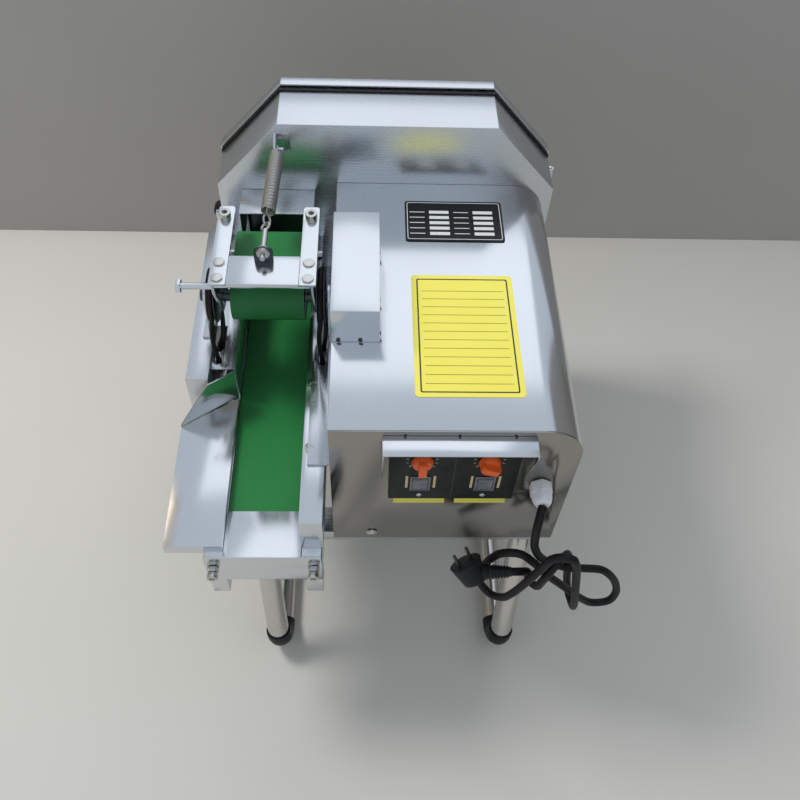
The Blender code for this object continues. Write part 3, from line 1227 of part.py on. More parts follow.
def make_press():
    axis = (PRESS_AXIS_Y, PRESS_AXIS_Z)
    pivot = (CHANNEL_X, PRESS_AXIS_Y, PRESS_AXIS_Z)
    web = ARM_WEB
    rear_y = PRESS_AXIS_Y + PRESS_ROLLER_SPACING
    for side, outer in (("left", PRESS_LEFT), ("right", PRESS_RIGHT)):
        step = 1 if side == "left" else -1
        web_outer = outer + step * ARM_WEB
        low_web, high_web = sorted((web_outer, web_outer + step * web))
        low_flange, high_flange = sorted((outer, outer + step * ARM_WIDTH))
        nose_y, back_y, tail_y = PRESS_AXIS_Y - ARM_FRONT, PRESS_AXIS_Y + ARM_BACK, rear_y + ARM_TAIL
        side_outline = [
            (nose_y, PRESS_TOP), (nose_y, PRESS_TOP - ARM_NOSE),
            (PRESS_AXIS_Y - 0.015, PRESS_AXIS_Z - 0.008), (PRESS_AXIS_Y, PRESS_AXIS_Z - ARM_CHIN),
            (rear_y, PRESS_AXIS_Z - ARM_CHIN), (tail_y, PRESS_AXIS_Z - 0.004),
            (tail_y, PRESS_AXIS_Z + 0.010), (back_y, PRESS_TOP - ARM_NOSE), (back_y, PRESS_TOP),
        ]
        arm = prism(f"press_arm_{side}", side_outline, "X", low_web, high_web)
        flange = prism(
            f"join_flange_{side}",
            rectangle(low_flange, high_flange, nose_y, back_y),
            "Z", PRESS_TOP - ARM_WEB, PRESS_TOP,
        )
        join(arm, flange)
        for end, y in (("front", PRESS_AXIS_Y), ("rear", rear_y)):
            bore = rod(
                f"cut_press_{end}_{side}", "X", (y, PRESS_AXIS_Z), ROLLER_SHAFT_RADIUS + RUNNING,
                web_outer - 0.02, web_outer + 0.02, steps=24,
            )
            cut(arm, bore)
        bolt_x = outer + step * ARM_WIDTH * 0.52
        for k, reach in enumerate(ARM_BOLTS):
            place = (bolt_x, PRESS_AXIS_Y + reach)
            head = prism(
                f"join_arm_bolt_{side}_{k}", hexagon(place, ARM_BOLT_ACROSS, radians(15)), "Z",
                PRESS_TOP + 0.0029, PRESS_TOP + 0.0082, "polished_steel",
            )
            washer = rod(
                f"join_arm_washer_{side}_{k}", "Z", place, ARM_WASHER, PRESS_TOP - 0.0010, PRESS_TOP + 0.0030,
                steps=16,
            )
            join(arm, washer, head)
        post_y = back_y - 0.010
        post = turned(
            f"join_post_{side}",
            [
                (0, PRESS_TOP - 0.0010), (POST_RADIUS, PRESS_TOP - 0.0010), (POST_RADIUS, PRESS_TOP + 0.0080),
                (POST_HEAD, PRESS_TOP + 0.0080), (POST_HEAD, PRESS_TOP + 0.0160), (0, PRESS_TOP + 0.0160),
            ],
            "Z", (bolt_x, post_y), "polished_steel", 16,
        )
        socket = prism(
            f"cut_post_{side}", hexagon((bolt_x, post_y), POST_SOCKET), "Z", PRESS_TOP + 0.0110,
            PRESS_TOP + 0.0200,
        )
        join(arm, post)
        cut(arm, socket)
        if side == "left":
            lift_place = (nose_y + 0.0060, PRESS_TOP - 0.0095)
            stem = rod(
                "join_lifting_bolt", "X", lift_place, LIFTING_BOLT_RADIUS, outer - LIFTING_BOLT_LENGTH,
                outer + 0.0040, steps=16,
            )
            head = prism(
                "join_lifting_head", hexagon(lift_place, LIFTING_BOLT_ACROSS), "X",
                outer - LIFTING_BOLT_LENGTH - 0.0045, outer - LIFTING_BOLT_LENGTH + 0.0001, "polished_steel",
            )
            join(arm, stem, head)
        origin_on(arm, pivot)

    plate = block(
        "press_cross_plate",
        (PRESS_LEFT + ARM_WIDTH + GAP, PRESS_RIGHT - ARM_WIDTH - GAP),
        (PRESS_AXIS_Y - ARM_FRONT, PRESS_AXIS_Y - ARM_FRONT + CROSS_PLATE_LENGTH),
        (PRESS_TOP - CROSS_PLATE_THICKNESS, PRESS_TOP),
    )
    lip = block(
        "join_cross_lip",
        (PRESS_LEFT + ARM_WEB + web + GAP, PRESS_RIGHT - ARM_WEB - web - GAP),
        (PRESS_AXIS_Y - ARM_FRONT, PRESS_AXIS_Y - ARM_FRONT + CROSS_PLATE_LENGTH),
        (PRESS_TOP - CROSS_PLATE_THICKNESS - 0.0020, PRESS_TOP - ARM_WEB - GAP),
    )
    tab = prism(
        "join_eye_tab",
        [(CHANNEL_X - TAB_HALF, PRESS_TOP - 0.001), (CHANNEL_X + TAB_HALF, PRESS_TOP - 0.001),
         (CHANNEL_X + TAB_HALF, EYE_Z + 0.001), (CHANNEL_X + TAB_HALF - 0.005, EYE_Z + 0.008),
         (CHANNEL_X - TAB_HALF + 0.005, EYE_Z + 0.008), (CHANNEL_X - TAB_HALF, EYE_Z + 0.001)],
        "Y", TAB_Y, TAB_Y + TAB_THICKNESS,
    )
    eye_hole = rod(
        "cut_eye_hole", "Y", (CHANNEL_X, EYE_Z), EYE_RADIUS + GAP, TAB_Y - 0.01, TAB_Y + 0.01, steps=16
    )
    join(plate, lip, tab)
    cut(plate, eye_hole)
    origin_on(plate, pivot)

    half_face = BELT_WIDTH / 2 - 0.0005
    left_end = LEFT_PULLEY_X - PULLEY_WIDTH / 2 - UPRIGHT_GAP - PLATE - 0.004
    right_end = RIGHT_PULLEY_X + PULLEY_WIDTH / 2 + UPRIGHT_GAP + PLATE + 0.0006
    low, high = CHANNEL_X - half_face, CHANNEL_X + half_face
    r = ROLLER_SHAFT_RADIUS
    front = turned(
        "press_front_roller",
        [(0, left_end), (r, left_end), (r, LEFT_PULLEY_X - PULLEY_WIDTH / 2)]
        + pulley_profile(LEFT_PULLEY_X, LARGE_PULLEY_RADIUS, ROUND_BELT_RADIUS)
        + [(r, LEFT_PULLEY_X + PULLEY_WIDTH / 2), (r, low), (PRESS_ROLLER_RADIUS, low),
           (PRESS_ROLLER_RADIUS, high), (r, high), (r, RIGHT_PULLEY_X - PULLEY_WIDTH / 2)]
        + pulley_profile(RIGHT_PULLEY_X, LARGE_PULLEY_RADIUS, ROUND_BELT_RADIUS)
        + [(r, RIGHT_PULLEY_X + PULLEY_WIDTH / 2), (r, right_end), (0, right_end)],
        "X", axis,
    )
    origin_on(front, pivot)
    rear = turned(
        "press_rear_roller",
        [(0, PRESS_LEFT - 0.001), (r, PRESS_LEFT - 0.001), (r, low), (PRESS_ROLLER_RADIUS, low),
         (PRESS_ROLLER_RADIUS, high), (r, high), (r, PRESS_RIGHT + 0.001), (0, PRESS_RIGHT + 0.001)],
        "X", (rear_y, PRESS_AXIS_Z),
    )
    origin_on(rear, (CHANNEL_X, rear_y, PRESS_AXIS_Z))
    belt = belt_loop(
        "press_belt", CHANNEL_X, BELT_WIDTH, axis, (rear_y, PRESS_AXIS_Z), PRESS_ROLLER_RADIUS,
        BELT_THICKNESS, "green_belt",
    )
    origin_on(belt, pivot)

    eye = bent_tube(
        "eye_bolt",
        [(CHANNEL_X, TAB_Y - 0.010, EYE_Z), (CHANNEL_X, EYE_LOOP_Y - EYE_LOOP + 0.0005, EYE_Z)],
        EYE_RADIUS, "polished_steel", 12,
    )
    ring = eye_ring("join_eye_ring", (CHANNEL_X, EYE_LOOP_Y, EYE_Z), EYE_RING, EYE_WIRE)
    nut_front = prism(
        "join_eye_nut", hexagon((CHANNEL_X, EYE_Z), EYE_NUT), "Y", TAB_Y - 0.0050, TAB_Y - GAP, "polished_steel"
    )
    nut_back = prism(
        "join_eye_lock_nut", hexagon((CHANNEL_X, EYE_Z), EYE_NUT), "Y", TAB_Y + TAB_THICKNESS + GAP,
        TAB_Y + TAB_THICKNESS + 0.0043, "polished_steel",
    )
    join(eye, ring, nut_front, nut_back)


def eye_ring(name, centre, radius, thickness, finish="polished_steel"):
    """A ring of round wire in the upright plane along Y."""
    bm = bmesh.new()
    around, across = 20, 8
    grid = []
    for i in range(around):
        turn = 2 * pi * i / around
        out = Vector((0, cos(turn), sin(turn)))
        ring = []
        for j in range(across):
            roll = 2 * pi * j / across
            point = Vector(centre) + out * (radius + thickness * cos(roll)) + Vector((thickness * sin(roll), 0, 0))
            ring.append(bm.verts.new(point))
        grid.append(ring)
    for i in range(around):
        for j in range(across):
            bm.faces.new((
                grid[i][j], grid[(i + 1) % around][j],
                grid[(i + 1) % around][(j + 1) % across], grid[i][(j + 1) % across],
            ))
    return object_from(name, bm, finish, smooth=True)


def make_spring():
    """The tension spring pulls the press frame's top back, so that its rear roller bears down."""
    start = Vector((CHANNEL_X, EYE_LOOP_Y + EYE_RING + EYE_WIRE + 2 * GAP, EYE_Z))
    end = Vector(SPRING_ANCHOR)
    direction = (end - start).normalized()
    hook = SPRING_HOOK
    coil_start = start + direction * hook
    coil_end = end - direction * (hook * 0.7)
    side = direction.cross(Vector((0, 0, 1))).normalized()
    up = side.cross(direction).normalized()
    steps = 7
    turns = SPRING_TURNS
    points = [start, start + direction * (hook * 0.6)]
    for i in range(turns * steps + 1):
        turn = 2 * pi * i / steps
        share = i / (turns * steps)
        centre = coil_start.lerp(coil_end, share)
        points.append(centre + (side * sin(turn) + up * cos(turn)) * SPRING_RADIUS)
    points += [end - direction * (hook * 0.4), end - direction * (ANCHOR_PIN + 2 * GAP)]
    return bent_tube("tension_spring", points, SPRING_WIRE, "polished_steel", 4)


def make_spring_anchor():
    """A flat ear welded to the front of the housing, with the pin that holds the spring's far hook."""
    x, y, z = SPRING_ANCHOR
    ear = prism(
        "spring_anchor",
        [(HOUSING_FRONT - GAP, z - ANCHOR_HALF), (HOUSING_FRONT - GAP, z + ANCHOR_HALF), (y + 0.002, z + 0.007),
         (y - 0.0028, z + 0.002), (y - 0.0028, z - 0.003), (y + 0.002, z - 0.007)],
        "X", x - 0.0020 - ANCHOR_THICKNESS, x - 0.0020,
    )
    pin = rod("join_anchor_pin", "X", (y, z), ANCHOR_PIN, x - 0.0030, x + 0.0060, steps=16)
    flange = block(
        "join_anchor_flange", (x - 0.0020 - ANCHOR_THICKNESS, x + ANCHOR_HALF),
        (HOUSING_FRONT - GAP - 0.002, HOUSING_FRONT - GAP), (z - ANCHOR_HALF, z + ANCHOR_HALF),
    )
    join(ear, pin, flange)


def make_crossed_belts():
    """Round belts in a figure of eight turn the press rollers against the conveyor. Where the two
    runs pass, each leans aside by a little more than its own radius."""
    low = Vector((0, LOWER_PULLEY_Y, LOWER_PULLEY_Z))
    high = Vector((0, PRESS_AXIS_Y, PRESS_AXIS_Z))
    span = high - low
    distance = span.length
    heading = atan2(span.z, span.y)
    lower = SMALL_PULLEY_RADIUS + BELT_SEAT
    upper = LARGE_PULLEY_RADIUS + BELT_SEAT
    tangent = (lower + upper) / distance
    open_angle = pi / 2 - atan2(tangent, sqrt(1 - tangent * tangent))
    for side, x in (("left", LEFT_PULLEY_X), ("right", RIGHT_PULLEY_X)):
        points = []
        arc = 16
        for i in range(arc + 1):
            turn = heading + open_angle + (2 * pi - 2 * open_angle) * i / arc
            points.append((x, low.y + lower * cos(turn), low.z + lower * sin(turn)))
        top = []
        for i in range(arc + 1):
            turn = heading + pi - open_angle - (2 * pi - 2 * open_angle) * i / arc
            top.append((x, high.y + upper * cos(turn), high.z + upper * sin(turn)))
        up_run = lean_run(points[-1], top[-1], ROUND_BELT_RADIUS * 1.15)
        down_run = lean_run(top[0], points[0], -ROUND_BELT_RADIUS * 1.15)
        loop = points + up_run + list(reversed(top)) + down_run
        bent_tube(f"crossed_belt_{side}", loop, ROUND_BELT_RADIUS, "black_rubber", 8, cyclic=True)


def lean_run(start, end, lean, steps=8):
    """The points between two tangent points, bowed sideways in the middle."""
    return [
        Vector(start).lerp(Vector(end), i / steps) + Vector((lean * sin(pi * i / steps), 0, 0))
        for i in range(1, steps)
    ]


def make_feed_drive():
    """The gearmotor's shaft drives the right belt; the left belt drives an idler and its chain."""
    centre = (LOWER_PULLEY_Y, LOWER_PULLEY_Z)
    r = ROLLER_SHAFT_RADIUS
    low_y, high_y = LOWER_PULLEY_Y - GEARBOX_HALF, LOWER_PULLEY_Y + GEARBOX_HALF
    gearbox_right = GEARBOX_LEFT + GEARBOX_WIDTH
    motor_end = gearbox_right + FEED_MOTOR_LENGTH
    gearbox = block(
        "feed_gearmotor", (GEARBOX_LEFT, gearbox_right), (low_y, high_y),
        (LOWER_PULLEY_Z - GEARBOX_DROP, LOWER_PULLEY_Z + GEARBOX_HALF), "motor_paint",
    )
    motor = turned(
        "join_feed_motor",
        [
            (0, gearbox_right - 0.0005), (FEED_MOTOR_RADIUS, gearbox_right - 0.0005),
            (FEED_MOTOR_RADIUS, motor_end - 0.006), (FEED_MOTOR_RADIUS - 0.004, motor_end), (0, motor_end),
        ],
        "X", (LOWER_PULLEY_Y, LOWER_PULLEY_Z - 0.004), "motor_paint",
    )
    stand = block(
        "join_feed_stand", (GEARBOX_LEFT + 0.0045, gearbox_right - 0.0035), (low_y + 0.008, high_y - 0.008),
        (GROUND_CLEARANCE + PLATE + GAP, LOWER_PULLEY_Z - GEARBOX_DROP + 0.001), "motor_paint",
    )
    socket = rod("cut_gearbox_bore", "X", centre, r + RUNNING, -0.01, FEED_SHAFT_END + 0.001, steps=24)
    join(gearbox, motor, stand)
    cut(gearbox, socket)
    shaft = turned(
        "feed_shaft",
        [(0, RIGHT_PULLEY_X - PULLEY_WIDTH / 2)]
        + pulley_profile(RIGHT_PULLEY_X, SMALL_PULLEY_RADIUS, ROUND_BELT_RADIUS)
        + [(r, RIGHT_PULLEY_X + PULLEY_WIDTH / 2), (r, FEED_SHAFT_END), (0, FEED_SHAFT_END)],
        "X", centre,
    )
    origin_on(shaft, (RIGHT_PULLEY_X, *centre))
    sprocket_x = (DRIVE_GUARD_LEFT + DRIVE_GUARD_RIGHT) / 2
    idler = turned(
        "idler_shaft",
        [
            (0, sprocket_x - 0.005), (r, sprocket_x - 0.005), (r, sprocket_x - 0.0015),
            (SPROCKET_RADIUS, sprocket_x - 0.0015), (SPROCKET_RADIUS, sprocket_x + 0.0015),
            (r, sprocket_x + 0.0015), (r, LEFT_PULLEY_X - PULLEY_WIDTH / 2),
        ]
        + pulley_profile(LEFT_PULLEY_X, SMALL_PULLEY_RADIUS, ROUND_BELT_RADIUS)
        + [(0, LEFT_PULLEY_X + PULLEY_WIDTH / 2)],
        "X", centre,
    )
    origin_on(idler, (sprocket_x, *centre))

    start = (LOWER_PULLEY_Y, LOWER_PULLEY_Z)
    end = (DRIVE_ROLLER_Y, ROLLER_Z)
    heading = atan2(end[1] - start[1], end[0] - start[0])

    def chain_outline(radius):
        points = []
        for i in range(13):
            turn = heading + pi / 2 + pi * i / 12
            points.append((start[0] + radius * cos(turn), start[1] + radius * sin(turn)))
        for i in range(13):
            turn = heading - pi / 2 + pi * i / 12
            points.append((end[0] + radius * cos(turn), end[1] + radius * sin(turn)))
        return points

    chain = prism(
        "feed_chain", chain_outline(SPROCKET_RADIUS + CHAIN_HEIGHT), "X", sprocket_x - CHAIN_HALF,
        sprocket_x + CHAIN_HALF,
        "polished_steel", smooth=True,
    )
    chain_room = prism(
        "cut_chain_inside", chain_outline(SPROCKET_RADIUS + GAP), "X", sprocket_x - 0.01, sprocket_x + 0.01
    )
    cut(chain, chain_room)


def make_drive_cover():
    """The small box on the cabinet's top, over the press drive's wiring."""
    low = CABINET_TOP + GAP
    top = low + DRIVE_COVER_HEIGHT
    cover = block("drive_cover", (0.0, DRIVE_COVER_WIDTH), (DRIVE_COVER_FRONT, DRIVE_COVER_BACK), (low, top))
    hollow = block(
        "cut_drive_cover", (SHEET, DRIVE_COVER_WIDTH - SHEET),
        (DRIVE_COVER_FRONT + SHEET, DRIVE_COVER_BACK - SHEET), (low - 0.01, top - SHEET),
    )
    cut(cover, hollow)


def make_legs():
    """Two sled legs of bent tube, each with rubber sleeves on its bends, and the two bars
    under the cabinet and the conveyor that they are fixed to."""
    bar_top = FOOT_BAR_TOP
    bar_low = bar_top - BAR_HEIGHT
    for name, y in (("front", LEG_TOP_FRONT), ("rear", LEG_TOP_BACK)):
        bar = block(
            f"cross_bar_{name}", (LEG_SPREAD_LEFT - BAR_OVERHANG, LEG_SPREAD_RIGHT + BAR_OVERHANG),
            (y - BAR_HALF, y + BAR_HALF), (bar_low, bar_top),
        )
        room = block(
            f"cut_bar_{name}", (LEG_SPREAD_LEFT - 0.03, LEG_SPREAD_RIGHT + 0.03),
            (y - BAR_HALF + BAR_WALL, y + BAR_HALF - BAR_WALL), (bar_low - 0.01, bar_top - BAR_WALL),
        )
        cut(bar, room)
        riser = block(
            f"join_riser_{name}", (CONVEYOR_LEFT + 0.004, CONVEYOR_RIGHT - 0.004),
            (y - BAR_HALF, y - BAR_HALF + BAR_WALL + 0.0002), (bar_top - 0.003, CONVEYOR_BOTTOM - GAP),
        )
        riser_cap = block(
            f"join_riser_cap_{name}", (CONVEYOR_LEFT + 0.004, CONVEYOR_RIGHT - 0.004),
            (y - BAR_HALF, y + BAR_HALF - 0.005), (CONVEYOR_BOTTOM - GAP - BAR_WALL, CONVEYOR_BOTTOM - GAP),
        )
        join(bar, riser, riser_cap)
    for side, x in (("left", LEG_SPREAD_LEFT), ("right", LEG_SPREAD_RIGHT)):
        top = bar_top - BAR_WALL - GAP
        lean_from = bar_low - 0.0060
        path = [(x, LEG_TOP_FRONT, top), (x, LEG_TOP_FRONT, lean_from), (x, LEG_FRONT, LEG_FLOOR),
                (x, LEG_BACK, LEG_FLOOR), (x, LEG_TOP_BACK, lean_from), (x, LEG_TOP_BACK, top)]
        line = rounded_path(path, LEG_BEND, LEG_STEPS)
        leg = bent_tube(f"leg_{side}", line, LEG_TUBE_RADIUS, "brushed_steel", 12)
        bend = LEG_STEPS + 1
        for end, first in (("front", 1 + bend), ("back", 1 + 2 * bend)):
            arc = line[first : first + bend]
            into = (arc[0] - line[first - 1]).normalized()
            out = (line[first + bend] - arc[-1]).normalized()
            before = 0.004 if end == "front" else SLEEVE_REACH
            after = SLEEVE_REACH if end == "front" else 0.004
            sleeve_line = [arc[0] - into * before, *arc, arc[-1] + out * after]
            sleeve = bent_tube(
                f"join_sleeve_{side}_{end}", sleeve_line, LEG_TUBE_RADIUS + RUBBER_THICKNESS, "black_rubber", 12,
            )
            join(leg, sleeve)
        under = block(
            f"cut_under_{side}", (x - 0.03, x + 0.03), (LEG_FRONT - 0.03, LEG_BACK + 0.03), (-0.01, 0)
        )
        cut(leg, under)


def smooth_route(route, spacing):
    """Points at even steps along a smooth curve through the route's points."""
    knots = [Vector(p) for p in route]
    dense = []
    for i in range(len(knots) - 1):
        p0 = knots[max(i - 1, 0)]
        p1, p2 = knots[i], knots[i + 1]
        p3 = knots[min(i + 2, len(knots) - 1)]
        for k in range(24):
            t = k / 24
            dense.append(0.5 * (2 * p1 + (p2 - p0) * t + (2 * p0 - 5 * p1 + 4 * p2 - p3) * t * t
                                + (3 * p1 - p0 - 3 * p2 + p3) * t ** 3))
    dense.append(knots[-1])
    total = sum((b - a).length for a, b in zip(dense, dense[1:]))
    count = max(2, round(total / spacing))
    step = total / count
    points = [dense[0]]
    walked = 0.0
    for a, b in zip(dense, dense[1:]):
        length = (b - a).length
        while len(points) < count and walked + length >= step * len(points):
            share = (step * len(points) - walked) / length
            points.append(a.lerp(b, share))
        walked += length
    points.append(dense[-1])
    return points


def make_cord_and_plug():
    """The power cord in its loose tied bundle, a plain tube, and the moulded plug on its end."""
    curve = bpy.data.curves.new("power_cord", "CURVE")
    curve.dimensions = "3D"
    curve.bevel_depth = CORD_RADIUS
    curve.bevel_resolution = 1
    curve.use_fill_caps = True
    mouth = Vector((GLAND_X, -GLAND_OUT - GAP, GLAND_Z))
    route = [mouth + Vector(step) for step in CORD_ROUTE]
    points = smooth_route(route, CORD_SPACING)
    points.insert(-1, points[-1] + Vector((CORD_RADIUS, 0, 0)))
    spline = curve.splines.new("POLY")
    spline.points.add(len(points) - 1)
    for point, place in zip(spline.points, points):
        point.co = (*place, 1)
    cord = bpy.data.objects.new("power_cord", curve)
    bpy.context.scene.collection.objects.link(cord)
    curve.materials.append(finish_material("black_rubber"))
    cord.parent = MACHINE

    end_x, y, z = route[-1]
    end_x -= GAP
    x = end_x - PLUG_REACH
    plug = turned(
        "power_plug",
        [
            (0, z - PLUG_DEPTH * 0.62),
            (PLUG_RADIUS * 0.62, z - PLUG_DEPTH * 0.60),
            (PLUG_RADIUS * 0.88, z - PLUG_DEPTH * 0.38),
            (PLUG_RADIUS, z),
            (PLUG_RADIUS, z + PLUG_DEPTH * 0.30),
            (PLUG_RADIUS * 0.93, z + PLUG_DEPTH * 0.38),
            (0, z + PLUG_DEPTH * 0.38),
        ],
        "Z", (x, y), "black_plastic", 24,
    )
    sleeve = turned(
        "join_plug_sleeve",
        [
            (0, x),
            (PLUG_RADIUS * 0.50, x),
            (PLUG_RADIUS * 0.42, end_x - PLUG_REACH * 0.40),
            (PLUG_RADIUS * 0.34, end_x),
            (0, end_x),
        ],
        "X", (y, z), "black_plastic", 16,
    )
    join(plug, sleeve)
    for i, (dx, dy) in enumerate(((-0.0080, 0.0), (0.0040, 0.0070), (0.0040, -0.0070))):
        prong = block(
            f"join_prong_{i + 1}", (x + dx - PRONG_HALF, x + dx + PRONG_HALF), (y + dy - 0.0008, y + dy + 0.0008),
            (z, z + PLUG_DEPTH * 0.38 + PRONG_LENGTH), "polished_steel",
        )
        join(plug, prong)
    return plug


clear_scene()
MACHINE = bpy.data.objects.new("machine", None)
bpy.context.scene.collection.objects.link(MACHINE)
MACHINE.location = (-(LEFT_END + RIGHT_END) / 2, -(FRONT_END + BACK_END) / 2, 0)

make_cabinet()
make_controls()
make_housing()
make_cutter()
make_conveyor()
make_feed_table()
make_rail()
make_press()
make_spring()
make_spring_anchor()
make_crossed_belts()
make_feed_drive()
make_drive_cover()
make_legs()
make_cord_and_plug()
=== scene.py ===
import json
from math import cos, pi, radians, sin, sqrt

import bmesh
import bpy
from mathutils import Matrix, Vector

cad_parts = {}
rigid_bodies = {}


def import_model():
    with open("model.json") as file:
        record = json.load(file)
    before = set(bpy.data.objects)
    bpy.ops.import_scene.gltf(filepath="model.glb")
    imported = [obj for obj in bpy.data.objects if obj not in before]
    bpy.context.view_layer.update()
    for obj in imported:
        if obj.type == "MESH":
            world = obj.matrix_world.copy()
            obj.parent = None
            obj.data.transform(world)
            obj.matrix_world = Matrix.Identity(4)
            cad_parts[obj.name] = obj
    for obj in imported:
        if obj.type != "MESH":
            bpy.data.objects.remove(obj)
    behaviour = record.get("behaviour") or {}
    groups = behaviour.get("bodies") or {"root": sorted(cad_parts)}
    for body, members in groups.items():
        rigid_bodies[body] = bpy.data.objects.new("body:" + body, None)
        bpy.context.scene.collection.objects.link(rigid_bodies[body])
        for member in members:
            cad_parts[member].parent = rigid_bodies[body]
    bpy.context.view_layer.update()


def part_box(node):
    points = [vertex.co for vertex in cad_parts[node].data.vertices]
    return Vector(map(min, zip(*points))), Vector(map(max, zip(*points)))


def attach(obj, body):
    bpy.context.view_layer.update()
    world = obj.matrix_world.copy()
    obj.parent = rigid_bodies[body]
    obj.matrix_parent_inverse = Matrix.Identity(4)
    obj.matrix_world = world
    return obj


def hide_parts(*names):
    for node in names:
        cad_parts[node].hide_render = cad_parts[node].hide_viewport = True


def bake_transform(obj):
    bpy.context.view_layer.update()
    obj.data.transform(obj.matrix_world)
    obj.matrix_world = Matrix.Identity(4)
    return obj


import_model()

bpy.ops.object.select_all(action="DESELECT")

# The machine's own zero: the cabinet's left front corner on the floor
ORIGIN = Vector((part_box("body_cover")[0][0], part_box("front_panel")[0][1], 0))

# Camera, in the machine's coordinates
CAMERA_PLACE = (0.03413, -0.41675, 1.03816)
CAMERA_RIGHT = (0.99922, -0.01788, 0.03519)
CAMERA_UP = (-0.0062, 0.80945, 0.58716)
CAMERA_BACK = (-0.03898, -0.58692, 0.80871)
CAMERA_LENS = 38.37

# Thin things that lie on the sheet metal
LIFT = 0.0002
PLATE_THICKNESS = 0.0008
LABEL_THICKNESS = 0.0003

# Power cord
CORD_DIAMETER = 0.0086
CORD_SPACING = 0.0060
PLUG_REACH = 0.0420
PLUG_RADIUS = 0.0180
PLUG_DEPTH = 0.0240
PRONG_LENGTH = 0.0180
PLUG_FACING = (-0.45, 0.60, 0.66)
PIN_RADIUS = 0.0018
PIN_ASIDE = 0.0078
SLEEVE_RIBS = 7

# Cable gland
GLAND_RADIUS = 0.0117

# Tension spring
SPRING_WIRE = 0.0011
SPRING_RADIUS = 0.0064
SPRING_PITCH = 0.00228
SPRING_ANCHOR = (-0.0600, 0.3180, 0.4690)

# Press frame
PRESS_TOP = 0.4500
ARM_WIDTH = 0.0160
ARM_SHEET = 0.0025
ARM_REAR = 0.2515
ARM_BOLT_PLACES = (0.1505, 0.1713)
ARM_BOLT_ACROSS = 0.0100
ARM_BOLT_HEIGHT = 0.0046
ARM_BOLT_INSET = 0.0076
POST_PLACE = 0.2330
POST_RADIUS = 0.0060
POST_HEIGHT = 0.0085
EYE_TAB_Y = 0.1728
EYE_TAB_HALF = 0.0092
EYE_HEIGHT = 0.0118
EYE_ROD_RADIUS = 0.0026
EYE_RING_RADIUS = 0.0046
EYE_RING_WIRE = 0.0014
EYE_RING_Y = 0.2090

# The housing's octagon and the black band round it
HOUSING_CORNER_X = 0.0711
HOUSING_CORNER_Z = 0.0790
BAND_OUT = 0.0012
BAND_DEEP = 0.0032

# How far the feed table's front edge stands back of the node's
TABLE_SHORTER = 0.0045

# How far the second knob is turned
KNOB_TURN = -70

# Nameplate and film on the cabinet's top: left, right, front and back
NAMEPLATE_PLACE = (0.0737, 0.1783, 0.2400, 0.3010)
FILM_PLACE = (0.0780, 0.1795, 0.0380, 0.1905)
CELL_COLUMNS = (0.0130, 0.0600)
CELL_ROWS = 5
CELL_STEP = 0.0082
RULES = 12
RULE_STEP = 0.0105

# Speed controllers
DIAL_REACH = 0.0138
BEZEL_HALF = (0.0098, 0.0125)
WINDOW_HALF = (0.0079, 0.0106)
SIDE_MARKS = (-0.0130, 0.0135)
STRIP_SPANS = ((0.0608, 0.1116), (0.1216, 0.1726))
STRIP_LOW, STRIP_HIGH = 0.2900, 0.3030
STRIP_THICKNESS = 0.0004

# Screws
FRONT_SCREW = (0.0402, 0.2263)
RAIL_SCREWS = ((-0.0190, 0.0340), (-0.0185, 0.0858), (-0.0195, 0.1130))
COVER_FRONT_SCREWS = (0.0068, 0.0278)
COVER_SIDE_SCREWS = (0.1080, 0.1500, 0.2150)
HOOD_SCREWS = (0.0681, 0.1169, 0.1675)

# Stage
WALL_PLACE = 0.52
WALL_TOP = 0.55
SHEET_SIZE = 6.0

# Sled legs: they lean in towards the floor
LEG_RADIUS = 0.0125
LEG_CORNER = 0.0240
LEG_LEAN = 0.0065
SLEEVE_THICKNESS = 0.0018


def place(x, y, z):
    """A point given in the machine's coordinates."""
    return ORIGIN + Vector((x, y, z))


def centre_of(node):
    """The middle of a node's box."""
    low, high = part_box(node)
    return (Vector(low) + Vector(high)) / 2


def add_camera():
    """The camera of the photograph."""
    data = bpy.data.cameras.new("camera")
    data.sensor_width = 36
    data.lens = CAMERA_LENS
    data.clip_start = 0.01
    camera = bpy.data.objects.new("camera", data)
    turn = Matrix((CAMERA_RIGHT, CAMERA_UP, CAMERA_BACK)).transposed()
    camera.matrix_world = Matrix.Translation(place(*CAMERA_PLACE)) @ turn.to_4x4()
    bpy.context.scene.collection.objects.link(camera)
    bpy.context.scene.camera = camera


# Materials

def new_material(name, colour, roughness, metallic=0.0):
    """A material of one colour, before its noises are added."""
    material = bpy.data.materials.new(name)
    material.use_nodes = True
    shader = material.node_tree.nodes["Principled BSDF"]
    shader.inputs["Base Color"].default_value = (*colour, 1)
    shader.inputs["Roughness"].default_value = roughness
    shader.inputs["Metallic"].default_value = metallic
    return material


def noise_of(material, scale, stretch=(1, 1, 1), detail=3.0):
    """A noise on the object's coordinates, stretched along the given axes."""
    nodes, links = material.node_tree.nodes, material.node_tree.links
    coordinates = nodes.new("ShaderNodeTexCoord")
    mapping = nodes.new("ShaderNodeMapping")
    mapping.inputs["Scale"].default_value = stretch
    noise = nodes.new("ShaderNodeTexNoise")
    noise.inputs["Scale"].default_value = scale
    noise.inputs["Detail"].default_value = detail
    links.new(coordinates.outputs["Object"], mapping.inputs["Vector"])
    links.new(mapping.outputs["Vector"], noise.inputs["Vector"])
    return noise


def vary(material, socket, noise, low, high):
    """The noise drives a shader's number between two values."""
    nodes, links = material.node_tree.nodes, material.node_tree.links
    spread = nodes.new("ShaderNodeMapRange")
    spread.inputs["From Min"].default_value = 0.3
    spread.inputs["From Max"].default_value = 0.7
    spread.inputs["To Min"].default_value = low
    spread.inputs["To Max"].default_value = high
    links.new(noise.outputs["Fac"], spread.inputs["Value"])
    links.new(spread.outputs["Result"], nodes["Principled BSDF"].inputs[socket])


